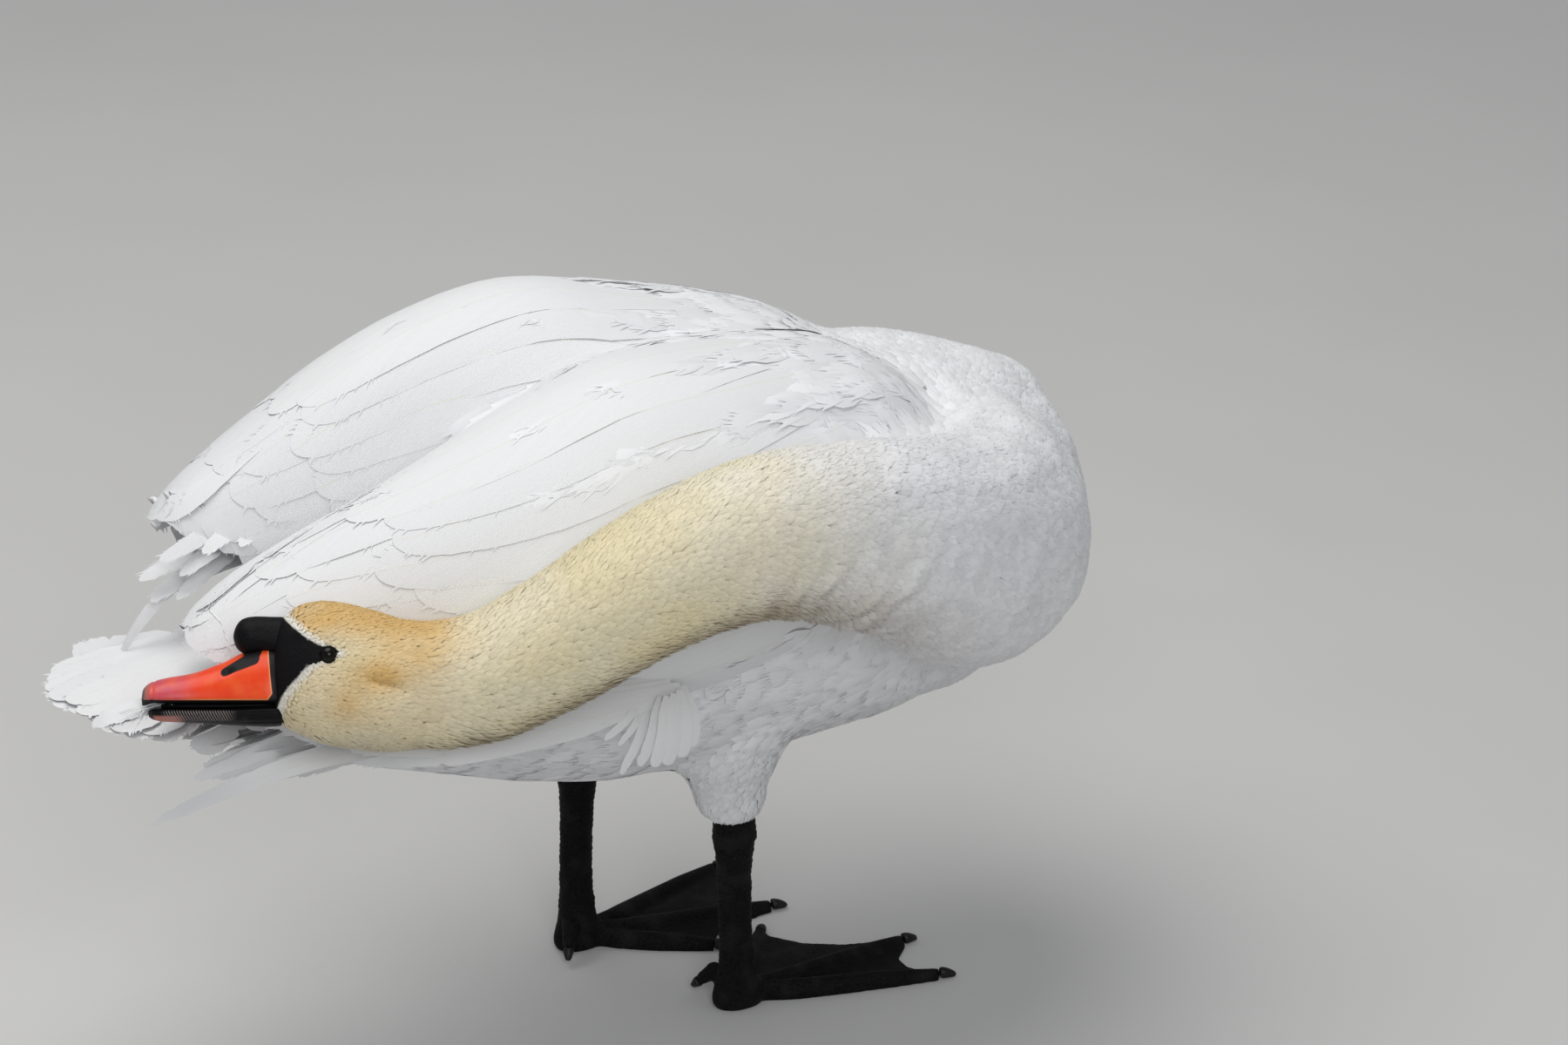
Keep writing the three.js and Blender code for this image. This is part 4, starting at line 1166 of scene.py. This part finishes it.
def wing_feather(plume, name, span, run, past, out, wide, seed):
    """A feather on the vault over a span of s and a run of t, whose tip goes past it by some millimetres."""
    last = len(VAULTS[name]) - 1.001
    t = np.linspace(run[0], min(run[1], last), WING_STOPS)
    s = np.linspace(*span, WING_STOPS)
    points = vault(name, t, s, mix(*out, np.sqrt(np.linspace(0, 1, WING_STOPS))))
    face = vault_normal(name, t, s)
    above, below = vault(name, t, s - BEND_REACH), vault(name, t, s + BEND_REACH)
    bulge = dot(vault(name, t, s) - (above + below) / 2, face)
    cups = wide * bulge / dot(below - above, below - above) * 4
    face = unit(face - ROLL * mix(-1, 1, ramp(*CREST, s))[:, None] * unit(below - above))
    if past:
        ahead = unit(points[-1] - points[-2])
        tip = points[-1] + ahead * past + vec(0, 0, -HANG * abs(past))
        points = np.concatenate([points, [tip]])
        face = np.concatenate([face, face[-1:]])
        cups = np.concatenate([cups, cups[-1:]])
    plume.add(points, face, wide, seed, cups)


BED_DEPTH = 6.0  # the inner layers lie this far under the wing's surface, clear of the long feathers
BED_VOXEL = 3.5


def wing_bed(name):
    """The folded wing's inner layers, one smooth body that closes the space under the long feathers."""
    points, faces, _ = solids([f"wing_{name}_tertials"])
    points, faces = remeshed(points, faces, BED_VOXEL)
    points = smoothed(points, faces, 8)
    points = points - BED_DEPTH * normals_of(points, faces)
    made = new_object(f"wing_bed_{name}", points, faces)
    set_marks(made, coat=np.full((len(points), 3), 0.5))
    finish_piece(made, VANE, "vane_plumage", f"wing_{name}_tertials")


def wing_end(name, s):
    """How far back the feathers reach: less at the wing's inner edge, and at its outer one."""
    outer = 1.1 if name == "left" else 0.5
    return 9.0 - 1.3 * ramp(0.3, 0.0, s) - outer * ramp(0.6, 0.9, s)


def wing_layers(name):
    """Secondaries and tertials behind the shoulder, and two rows of long coverts over their roots."""
    own = np.random.default_rng(5 if name == "left" else 6)
    firm = dict(rows=34, outer=1.0, inner=1.0, blunt=0.62, notches=1)
    tertials = Plume(f"tertials_{name}", "vane_plumage", [], firm)
    coverts = Plume(f"long_coverts_{name}", "vane_plumage", [], dict(firm, blunt=0.5, notches=0))

    def row(plume, seed, count, span, drawn, start, reach, depths, half):
        """Feathers from the lower edge to the inner one; reach gives their ends and how far past they go."""
        for s in np.linspace(*span, count):
            end, past = reach(s)
            across = (s, mix(0.5, s, drawn))
            wing_feather(plume, name, across, (start, end), past, depths, half, seed + len(plume.seeds))

    def to_the_end(s):
        return wing_end(name, s), own.uniform(2, 9)

    def past_the_end(s):
        return wing_end(name, s), 16 * (1 - abs(s - 0.5) / 0.43) + own.uniform(1, 7)

    def uneven(end):
        return lambda s: (end + own.uniform(-0.25, 0.25), 0)

    row(tertials, 300, 11, (0.97, 0.03), 0.97, 3.8, to_the_end, (-5.6, -3.1), 25)
    row(tertials, 300, 10, (0.93, 0.08), 0.9, 3.4, past_the_end, (-4.8, -2.3), 28)
    row(coverts, 340, 12, (0.97, 0.03), 0.95, 3.0, uneven(7.6), (-4.2, -1.5), 29)
    row(coverts, 340, 15, (0.97, 0.03), 0.97, 2.3, uneven(6.5), (-3.9, -0.7), 28)
    tertials.make()
    coverts.make()


for side in SIDES:
    wing_bed(side)
    wing_layers(side)


def bowed(root, middle, tip, near=(0, 0, 0), far=(0, 0, 0)):
    """Control points from root to tip; the ones between are pushed by near and far."""
    return [root, mix(root, middle, 0.5) + near, middle, mix(middle, tip, 0.5) + far, tip]


# The primaries' roots, middles and tips, of the lowest and the highest one.
RIGHT_ROOTS = vec(-60, -168, 322), vec(-95, -166, 342)
RIGHT_MIDDLES = vec(-215, -190, 329), vec(-225, -181, 354)
RIGHT_TIPS = vec(-296, -134, 313), vec(-352, -112, 348)
RIGHT_DROOPING = vec(-205, -166, 328), vec(-320, -140, 318), vec(-417, -90, 271)
LEFT_ROOTS = vec(-60, 160, 322), vec(-80, 158, 350)
LEFT_MIDDLES = vec(-225, 96, 372), vec(-205, 104, 392)
LEFT_TIPS = (
    (-379, 10, 401), (-372, 9, 384), (-363, 12, 411), (-348, 14, 396),
    (-330, 16, 408), (-352, 12, 380), (-300, 22, 404),
)  # fmt: skip
LEFT_CURLED = ((-120, 150, 330), (-250, 84, 366), (-340, 34, 380), (-371, 18, 371), (-391, 18, 347))


def hand_feathers():
    """The primaries: the right wing's hang out of the flank, the left wing's cross the rump."""
    quill = dict(rows=40, outer=0.75, inner=1.1)
    long = dict(quill, blunt=0.4, notches=4)
    right = Plume("primaries_right", "flight_feather", ["wing_right_primaries"], long)
    for i in range(6):
        f = i / 5
        stops = mix(*RIGHT_ROOTS, f), mix(*RIGHT_MIDDLES, f), mix(*RIGHT_TIPS, f**0.7)
        right.add(bowed(*stops, (0, -4, 0), (0, -12, 3)), (0.1, -0.9, 0.3), 15, 400 + i)
    right.add(bowed(*RIGHT_DROOPING, (0, -3, 2), (0, -3, 5)), (-0.25, -0.7, 0.65), 7.5, 411)
    right.make()
    worn = dict(quill, blunt=0.3, notches=1, parted=34)
    left = Plume("primaries_left", "flight_feather", ["wing_left_primaries"], worn)
    for i, tip in enumerate(LEFT_TIPS):
        f = i / (len(LEFT_TIPS) - 1)
        middle = mix(*LEFT_MIDDLES, f) + vec(0, 0, 0.25 * (tip[2] - 400))
        line = bowed(mix(*LEFT_ROOTS, f), middle, vec(*tip), (0, 10, 0), (0, 8, 4))
        left.add(line, (-0.35, -0.7, 0.7), 11, 420 + i)
    left.add([vec(*stop) for stop in LEFT_CURLED], (-0.3, -0.8, 0.5), 5.5, 431)
    left.make()


TAIL_TURN = 15  # degrees that the tail's middle line is turned to the right
TAIL_COUNT = 18
TAIL_LENGTH = 181


def fanned(place, degrees, rise=0.0):
    """The way out of the tail at a place across it, from -0.5 to 0.5."""
    angle = math.radians(TAIL_TURN + place * degrees)
    return vec(-math.cos(angle), -math.sin(angle), rise)


def tail_feathers():
    form = dict(rows=40, outer=1.0, inner=1.0, blunt=0.7, notches=3, parted=26)
    tail = Plume("tail_feathers", "flight_feather", ["tail"], form)
    own = np.random.default_rng(9)
    for i in range(TAIL_COUNT):
        place = i / (TAIL_COUNT - 1) - 0.5
        lower = i % 2
        root = vec(-285, -2 - place * 24, 344 - 7 * abs(place))
        reach = TAIL_LENGTH * (1 - 0.5 * place * place) * own.uniform(0.96, 1.0)
        tip = root + fanned(place, 37, 0.04) * reach + vec(0, 0, -10 * abs(place) - 3.0 * lower)
        root = root - vec(0, 0, 2.5 * lower)
        middle = mix(root, tip, 0.5) + vec(0, 0, 5)
        tail.add(bowed(root, middle, tip, (0, 0, 1), (0, 0, 1)), (0, 0, 1), 18, 450 + i)
    tail.make()


FRINGE_ROOTS = vec(-232, -116, 313), vec(-282, -99, 329)
FRINGE_TIPS = vec(-306, -84, 284), vec(-380, -68, 290)


def tail_coverts():
    """Soft feathers over and under the tail's roots; the lower ones end in a loose fringe."""
    soft = dict(rows=30, outer=1.0, inner=1.0, blunt=0.45, notches=3, parted=30)
    upper = Plume("tail_coverts_upper", "vane_plumage", [], soft)
    lower = Plume("tail_coverts_lower", "vane_plumage", [], soft)
    own = np.random.default_rng(21)

    def three_rows(plume, seed, degrees, root_of, reach, rise_of, bow, lean, half):
        for row, i in np.ndindex(3, 9):
            place = i / 8 - 0.5
            root = vec(*root_of(row, place))
            way = fanned(place, degrees)
            tip = root + way * (reach + own.uniform(-8, 8)) + vec(0, 0, rise_of(row, abs(place)))
            line = bowed(root, mix(root, tip, 0.5) + vec(0, 0, bow), tip)
            plume.add(line, (0, lean * place, math.copysign(1, bow)), half, seed + 9 * row + i)

    def upper_root(row, place):
        return -252 - 30 * row, -4 - place * (96 - 12 * row), 366 - 9 * row - 40 * place * place

    def lower_root(row, place):
        return -262 - 34 * row, -8 - place * 88, 275 + 22 * row + 26 * abs(place)

    three_rows(upper, 500, 44, upper_root, 84, lambda row, aside: -14 - 12 * aside, 4, -0.9, 17)
    three_rows(lower, 530, 50, lower_root, 88, lambda row, aside: 26 - 8 * row - 10 * aside, -5, -1.2, 16)
    for i in range(12):
        f = i / 11
        root = mix(*FRINGE_ROOTS, f)
        tip = mix(*FRINGE_TIPS, f) + vec(own.uniform(-5, 5), 0, own.uniform(-6, 6))
        line = bowed(root, mix(root, tip, 0.5) + vec(0, -5, 0), tip)
        lower.add(line, (-0.2, -0.9, 0.15), 6.5, 560 + i)
    upper.make()
    lower.make()


# The thumb's feathers: root, tip and half width of each on the left wing; the right wing's are their mirror.
THUMB = [
    ((-92, 184, 314), (-113, 182, 277), 3.6), ((-87, 187, 312), (-100, 184, 281), 4.6),
    ((-82, 188, 312), (-89, 185, 278), 5.6), ((-76, 187, 312), (-79, 185, 277), 6.4),
    ((-70, 184, 312), (-67, 184, 280), 6.6), ((-65, 180, 312), (-58, 182, 285), 6.4),
    ((-96, 183, 317), (-124, 180, 305), 3.0), ((-96, 183, 313), (-114, 181, 299), 2.6),
]  # fmt: skip
THUMB_BURIED = vec(8, -14, 12)  # the roots lie under the flank's coat


def thumb_feathers():
    form = dict(rows=20, outer=0.9, inner=1.1, blunt=0.66, notches=2)
    for name, side in SIDES.items():
        thumb = Plume(f"alula_{name}", "flight_feather", [f"wing_{name}_alula"], form)
        for i, (root, tip, wide) in enumerate(THUMB):
            root = (vec(*root) + THUMB_BURIED) * [1, side, 1]
            tip = vec(*tip) * [1, side, 1]
            middle = mix(root, tip, 0.5) + vec(0, side * 6, 0)
            thumb.add([root, middle, tip], (0.1, side, 0.25), wide, 480 + i)
        thumb.make()


HELD = ((-330, -62, 346), (-385, -90, 356), (-421, -106, 369), (-446, -104, 367), (-458, -98, 360))
MOUTH_HEIGHT = -22.5  # between the two halves of the bill, in the head's frame


def held_feather():
    """The tail's edge feather that runs through the bill, and the loose barbs that the bill holds."""
    vane = dict(rows=40, outer=1.0, inner=0.9, blunt=0.7, notches=12)
    held = Plume("held_feather", "flight_feather", [], vane)
    held.add([vec(*stop) for stop in HELD], (0, -0.3, 1), 9, 571)
    held.make()
    barb = dict(rows=12, outer=1.0, inner=1.0, blunt=0.3, notches=0)
    barbs = Plume("held_barbs", "flight_feather", [], barb)
    own = np.random.default_rng(31)
    for i in range(14):
        root = on_head(vec(104, own.uniform(-9, 9), MOUTH_HEIGHT))
        turn = vec(119 + own.uniform(-3, 3), own.uniform(-8, 8), MOUTH_HEIGHT + own.uniform(-1, 1))
        turn = on_head(turn)
        tip = turn + vec(-own.uniform(6, 22), own.uniform(-10, 6), -own.uniform(0, 12))
        barbs.add([root, turn, tip], (0, 0, 1), 0.55, 580 + i)
    barbs.make()


hand_feathers()
tail_feathers()
tail_coverts()
thumb_feathers()
held_feather()

# ---------------------------------------------------------------- closed surfaces through rings
def ring_mesh(rings):
    """A closed surface through rings of equal count, with a fan at each end: points and triangles."""
    rings = np.asarray(rings, float)
    rows, sides = rings.shape[:2]
    points = np.concatenate([rings.reshape(-1, 3), rings[:1].mean(axis=1), rings[-1:].mean(axis=1)])
    k = np.arange(sides)
    n = (k + 1) % sides
    faces = []
    for r in range(rows - 1):
        a = r * sides
        faces.append(np.stack([a + k, a + n, a + sides + n], 1))
        faces.append(np.stack([a + k, a + sides + n, a + sides + k], 1))
    first, last, end = rows * sides, rows * sides + 1, (rows - 1) * sides
    faces.append(np.stack([np.full(sides, first), n, k], 1))
    faces.append(np.stack([np.full(sides, last), end + k, end + n], 1))
    return points, outward(points - points.mean(axis=0), np.concatenate(faces))


def outward(points, faces):
    a, b, c = (points[faces[:, k]] for k in range(3))
    volume = np.sum(a * np.cross(b, c))
    return faces if volume > 0 else faces[:, ::-1]


def head_loft(stations, rows, sides):
    """Rings in the head's frame through stations of forward place, middle height, half width, up and down."""
    f, z, wide, up, down = size_at(stations, np.linspace(0, len(stations) - 1, rows)).T
    turn = np.linspace(0, 2 * math.pi, sides, endpoint=False)
    high = np.where(np.sin(turn) > 0, up[:, None], down[:, None]) * np.sin(turn)
    ahead = np.repeat(f[:, None], sides, axis=1)
    return ring_mesh(np.stack([ahead, wide[:, None] * np.cos(turn), z[:, None] + high], 2))


# ---------------------------------------------------------------- bill
UPPER_BILL = [
    (31, -17, 15, 26, 4), (37.4, -17, 19.3, 33.5, 4.6), (53.6, -17, 18.6, 31, 4.6),
    (72.3, -17, 17.4, 22, 4.6), (91, -17, 17, 15.5, 4.6), (108, -17, 17.4, 12.2, 4.6),
    (118.2, -17, 15.5, 9.6, 4.6), (123.7, -18, 9.5, 6.5, 5), (125, -19, 4, 2.5, 4),
]  # fmt: skip
LOWER_BILL = [
    (31, -26, 14, 4, 8), (37.4, -26, 17.3, 5.2, 10.8), (65.5, -27, 15.8, 3.2, 9), (91, -27, 15, 2.4, 7.4),
    (109.7, -27, 14.6, 2.2, 6.6), (116.5, -27, 12, 2, 5.6), (120.3, -27.4, 6, 1.4, 3.4),
]  # fmt: skip
KNOB = [
    (26, 15, 11, 17, 10), (32, 17.2, 12.6, 17.6, 9.5), (37, 18.6, 12.6, 16.6, 9), (45, 21.2, 12.4, 14.4, 10),
    (52.4, 22.6, 12.9, 12.9, 12.4), (57, 22.7, 12.1, 12.0, 11.8), (60.8, 22.6, 9.9, 9.9, 9.9),
    (63.6, 22.5, 6.4, 6.4, 6.4), (65, 22.5, 2.2, 2.2, 2.2),
]  # fmt: skip
TONGUE = [(33, -22, 11, 2, 3), (60, -22.6, 13, 2.4, 3), (95, -23, 11.5, 2.6, 2.6), (112, -23.4, 6, 2, 1.6)]
STRIPE = ((51.5, 8.5), (70, -1))  # the black stripe from the knob to the nostril: forward and up at its ends
STRIPE_HALF = (4.6, 2.3)
NOSTRIL = (67.6, -0.4)
MOUTH_EDGE = -19.2  # height of the upper bill's lower edge
BILL_REAR = 38.2  # where the orange ends at the base of the bill
ORANGE = (0.84, 0.05, 0.004)
BRIGHT_ORANGE = (0.88, 0.13, 0.02)
PINK = (0.60, 0.075, 0.11)
RIM_ORANGE = (0.86, 0.30, 0.10)
NAIL_BROWN = (0.36, 0.17, 0.15)
NAIL_BLACK = (0.03, 0.02, 0.018)
BILL_BLACK = (0.005, 0.0045, 0.005)
TIP_PINK = (0.46, 0.17, 0.14)
RIDGE_GREY = (0.34, 0.29, 0.28)
WORN_GREY = (0.05, 0.048, 0.048)


def stripe_mask(f, u):
    """1 inside the tapering stripe between the ends of STRIPE."""
    (f0, u0), (f1, u1) = STRIPE
    length = (f1 - f0) ** 2 + (u1 - u0) ** 2
    away_f, away_u = f - f0, u - u0
    run = away_f * ((f1 - f0) / length) + away_u * ((u1 - u0) / length)
    t = node(f.tree, "ShaderNodeClamp", {"Value": run})
    off_f, off_u = away_f - t * (f1 - f0), away_u - t * (u1 - u0)
    distance = figure("SQRT", off_f * off_f + off_u * off_u)
    half = t * (STRIPE_HALF[1] - STRIPE_HALF[0]) + STRIPE_HALF[0]
    return spread(distance - half, 0.4, -0.4)


def upper_bill_material():
    """Orange-red that turns pink forwards, with black round the nostril, at the base and along the edge."""
    settings = dict(Specular_IOR_Level=0.3, Coat_Weight=0.06, Coat_Roughness=0.2)
    material, tree = shader("bill_upper", 0.35, **settings)
    f, _, u = mark(tree, "place")
    blotch = texture(tree, "Noise", 90)
    colour = blend(tree, spread(f + (blotch - 0.5) * 18.0, 80.0, 106.0), ORANGE, PINK)
    colour = blend(tree, spread(blotch, 0.35, 0.7, 0.0, 0.5), colour, BRIGHT_ORANGE)
    colour = blend(tree, spread(f, 117.0, 122.5, 0.0, 0.85), colour, NAIL_BROWN)
    colour = blend(tree, spread(f, 121.5, 124.5), colour, NAIL_BLACK)
    rear = f - BILL_REAR - (u + 10.0) * 0.12 - figure("MAXIMUM", -14.5 - u, 0.0) * 0.8
    over_edge = u - (MOUTH_EDGE + 0.3)
    rim = figure("MAXIMUM", spread(rear, 1.5, 0.5), spread(over_edge, 1.5, 0.6)) * spread(f, 108.0, 84.0)
    colour = blend(tree, rim * 0.8, colour, RIM_ORANGE)
    under_knob = spread(u - 22.4 + (f - 41.4) * 2.3, -0.4, 0.4) * spread(f, 58.5, 57.5)
    over_stripe = spread(u + f * 0.543 - 34.3, -0.3, 0.3)
    black = figure("MAXIMUM", under_knob * over_stripe, stripe_mask(f, u))
    black = figure("MAXIMUM", black, spread(rear, 0.4, 0.0))
    black = figure("MAXIMUM", black, spread(over_edge, 0.35, -0.05))
    paint(tree, blend(tree, black, colour, BILL_BLACK))
    feed(tree, "Roughness", spread(black, 0.0, 1.0, 0.35, 0.7))
    bump(tree, texture(tree, "Noise", 700), 0.12, 0.0006)
    return material


def lower_bill_material():
    """Black horn with pale ridges in the mouth and a pinkish patch behind the tip."""
    material, tree = shader("bill_lower", 0.5, Specular_IOR_Level=0.12)
    f, ridge, u = mark(tree, "place")
    pink = spread(f, 94.0, 104.0) * spread(f, 118.0, 115.0) * spread(u, -28.5, -30.5)
    colour = blend(tree, pink, BILL_BLACK, TIP_PINK)
    colour = blend(tree, ridge * 0.85, colour, RIDGE_GREY)
    worn = texture(tree, "Noise", 120)
    paint(tree, blend(tree, spread(worn, 0.5, 0.8, 0.0, 0.25), colour, WORN_GREY))
    bump(tree, worn, 0.1, 0.0006)
    return material


def knob_material():
    material, tree = shader("bill_knob", 0.5, Specular_IOR_Level=0.1)
    grain = texture(tree, "Voronoi", 800)
    paint(tree, blend(tree, spread(grain, 0.0, 0.8), LORE_BLACK, LORE_GREY))
    bump(tree, grain, 0.35, 0.0005)
    return material


KNOB_BLACK = knob_material()


def head_piece(name, points, faces, material, slot, *nodes, **marks):
    """A piece from points in the head's frame."""
    made = new_object(name, on_head(points), faces)
    set_marks(made, **marks)
    finish_piece(made, material, slot, *nodes)


def band(x, width):
    """1 where x is 0, and less to both sides."""
    return np.exp(-((x / width) ** 2))


def upper_bill():
    points, faces = head_loft(UPPER_BILL, rows=150, sides=110)
    normals = normals_of(points, faces)
    f, side, u = points.T
    (f0, u0), (f1, u1) = STRIPE
    ahead = unit(vec(f1 - f0, u1 - u0))
    along = (f - NOSTRIL[0]) * ahead[0] + (u - NOSTRIL[1]) * ahead[1]
    across = (u - NOSTRIL[1]) * ahead[0] - (f - NOSTRIL[0]) * ahead[1]
    on_side = np.abs(side) > 5
    raised = -2.4 * band(along, 3.6) * band(across, 1.5) * on_side
    raised += 0.5 * band(along, 5.4) * band(across - 2.6, 1.2) * on_side
    raised += 0.2 * band(u - MOUTH_EDGE - 0.8, 0.9)
    raised += 0.5 * (noise(points, 11) - 0.5) - 0.5 * ramp(119, 117, f) * band(f - 117, 1.2)
    shaped = points + normals * raised[:, None]
    nodes = "bill_upper", "bill_nail"
    head_piece("upper_bill", shaped, faces, upper_bill_material(), "bill_orange", *nodes, place=points)


RIDGE_SPACING = 1.8
FOLD_SPACING = 3.1


def lower_bill():
    points, faces = head_loft(LOWER_BILL, rows=300, sides=64)
    normals = normals_of(points, faces)
    f, side, u = points.T
    outside = np.abs(side) > 9
    inner = ramp(60, 70, f) * ramp(112, 106, f) * ramp(-33.5, -31.5, u) * ramp(-25.2, -26.4, u) * outside
    ridges = np.clip(np.sin(2 * math.pi * (f - 0.5 * u) / RIDGE_SPACING), -0.3, 1) * inner
    folds = 0.4 * np.sin(2 * math.pi * (u + 0.03 * f) / FOLD_SPACING) * ramp(72, 52, f) * outside
    place = np.stack([f, np.clip(ridges, 0, 1), u], 1)
    shaped = points + normals * (0.45 * ridges + folds)[:, None]
    head_piece("lower_bill", shaped, faces, lower_bill_material(), "bill_black", "bill_lower", place=place)


def knob_and_mouth():
    points, faces = head_loft(KNOB, rows=70, sides=72)
    points = points + normals_of(points, faces) * (0.5 * (noise(points, 7) - 0.5))[:, None]
    head_piece("knob", points, faces, KNOB_BLACK, "bill_black", "bill_knob")
    points, faces = head_loft(TONGUE, rows=40, sides=32)
    head_piece("tongue", points, faces, KNOB_BLACK, "bill_black")


upper_bill()
lower_bill()
knob_and_mouth()


# ---------------------------------------------------------------- eyes, lids and claws
EYE_BLACK = (0.002, 0.0015, 0.0015)
EYE_BROWN = (0.008, 0.005, 0.004)


def eye_material():
    settings = dict(Coat_Weight=0.12, Coat_Roughness=0.03, Specular_IOR_Level=0.15)
    material, tree = shader("eye", 0.12, **settings)
    paint(tree, blend(tree, texture(tree, "Noise", 700), EYE_BLACK, EYE_BROWN))
    return material


EYE_DARK = eye_material()


EYE_SIDES = 48
EYE_ROWS = 25


def eyeball(name, side):
    turn = np.linspace(0, 2 * math.pi, EYE_SIDES, endpoint=False)
    rings = []
    for high in np.linspace(-0.98, 0.98, EYE_ROWS) * math.pi / 2:
        level = np.full(len(turn), math.sin(high))
        ring = np.stack([np.cos(turn) * math.cos(high), level, np.sin(turn) * math.cos(high)], 1)
        rings.append(EYE * [1, side, 1] + EYE_RADIUS * ring)
    points, faces = ring_mesh(rings)
    head_piece(f"eyeball_{name}", points, faces, EYE_DARK, "eye", f"eye_{name}")


LID_RADIUS = 5.5
LID_HALF = 0.8
LID_OUT = 1.9  # the lids' rim lies this far outside the eye's centre
LID_STEPS = 64  # round the eye
RIM_STEPS = 14  # round the rim's own thickness


def eyelids(name, side):
    """A rim of black skin round the eye, drawn to a point behind it."""
    turn = np.linspace(0, 2 * math.pi, LID_STEPS, endpoint=False)[:, None]
    round_it = np.linspace(0, 2 * math.pi, RIM_STEPS, endpoint=False)[None, :]
    corner = 2.6 * band(turn - math.pi, 0.3) + 1.0 * band(np.minimum(turn, 2 * math.pi - turn), 0.3)
    reach = LID_RADIUS + corner + LID_HALF * np.cos(round_it)
    out = LID_OUT - 0.5 * corner + LID_HALF * (1 - 0.25 * np.sin(turn)) * np.sin(round_it)
    places = np.stack([np.cos(turn) * reach, side * out, 0.94 * np.sin(turn) * reach], 2) + EYE * [1, side, 1]
    k, j = np.meshgrid(np.arange(LID_STEPS), np.arange(RIM_STEPS), indexing="ij")
    this, after = k * RIM_STEPS, (k + 1) % LID_STEPS * RIM_STEPS
    a, b, c, d = this + j, after + j, after + (j + 1) % RIM_STEPS, this + (j + 1) % RIM_STEPS
    faces = np.concatenate([np.stack([a, b, c], 2).reshape(-1, 3), np.stack([a, c, d], 2).reshape(-1, 3)])
    points = places.reshape(-1, 3)
    faces = outward(points - points.mean(axis=0), faces)
    head_piece(f"eyelids_{name}", points, faces, KNOB_BLACK, "bill_black")


HORN_BLACK = (0.005, 0.005, 0.006)
HORN_GREY = (0.016, 0.015, 0.014)
CLAW_SWELLING = 0.0005  # metres, to close the gap that the rounding leaves


def horn_material():
    material, tree = shader("claw", 0.45, Specular_IOR_Level=0.25)
    streaks = texture(tree, "Noise", 300)
    paint(tree, blend(tree, spread(streaks, 0.35, 0.7), HORN_BLACK, HORN_GREY))
    bump(tree, streaks, 0.06, 0.0004)
    return material


def dress_claws():
    horn = horn_material()
    for name, claw in frame["nodes"].items():
        if name.startswith("claw_"):
            claw.data.materials.clear()
            claw.data.materials.append(horn)
            claw.data.shade_smooth()
            claw.modifiers.new("joined", "WELD").merge_threshold = 1e-6
            rounded = claw.modifiers.new("rounded", "SUBSURF")
            rounded.levels = rounded.render_levels = 2
            swollen = claw.modifiers.new("swollen", "DISPLACE")
            swollen.strength, swollen.mid_level = CLAW_SWELLING, 0


for name, side in SIDES.items():
    eyeball(name, side)
    eyelids(name, side)
dress_claws()

bpy.context.view_layer.update()

# ---------------------------------------------------------------- floor, lights and camera
CAMERA = vec(-1551.40, -3122.25, 1990.93)
AIM = vec(150.54, 78.64, 300.46)
LENS = 125
SENSOR = 36
FLOOR_SIZE = 30
FLOOR_GREY = (0.57, 0.565, 0.555)
FLOOR_PALE = (0.62, 0.615, 0.605)
STUDIO_GREY = (0.86, 0.88, 0.92, 1)
STUDIO_LIGHT = 0.32
scene_objects = bpy.context.scene.collection.objects

floor_material, floor_tree = shader("floor", 0.8)
paint(floor_tree, blend(floor_tree, texture(floor_tree, "Noise", 3), FLOOR_GREY, FLOOR_PALE))
bpy.ops.mesh.primitive_plane_add(size=FLOOR_SIZE, location=(0, 0, 0))
floor = bpy.context.object
floor.name = "floor"
floor.data.materials.append(floor_material)


def aim_at(made, place, target):
    """Puts a light or a camera at a place and turns it towards a target, both in metres."""
    made.location = place
    made.rotation_euler = (Vector(target) - Vector(place)).to_track_quat("-Z", "Y").to_euler()
    scene_objects.link(made)


def area_light(name, place, target, size, watts, colour):
    light = bpy.data.lights.new(name, "AREA")
    light.shape = "DISK"
    light.size = size
    light.energy = watts
    light.color = colour
    aim_at(bpy.data.objects.new(name, light), place, target)


area_light("sky", (-0.5, 0.6, 3.2), (0, 0, 0.3), 3.0, 65, (1.0, 0.99, 0.97))
area_light("window", (-1.1, -3.0, 2.5), (0, 0, 0.35), 2.0, 46, (0.98, 0.99, 1.0))

world = bpy.data.worlds.new("studio")
world.use_nodes = True
world.node_tree.nodes["Background"].inputs["Color"].default_value = STUDIO_GREY
world.node_tree.nodes["Background"].inputs["Strength"].default_value = STUDIO_LIGHT
bpy.context.scene.world = world

camera_data = bpy.data.cameras.new("camera")
camera_data.sensor_width = SENSOR
camera_data.lens = LENS
camera_data.clip_end = 100
camera = bpy.data.objects.new("camera", camera_data)
aim_at(camera, metres(CAMERA), metres(AIM))
bpy.context.scene.camera = camera
bpy.context.scene.view_settings.view_transform = "Standard"
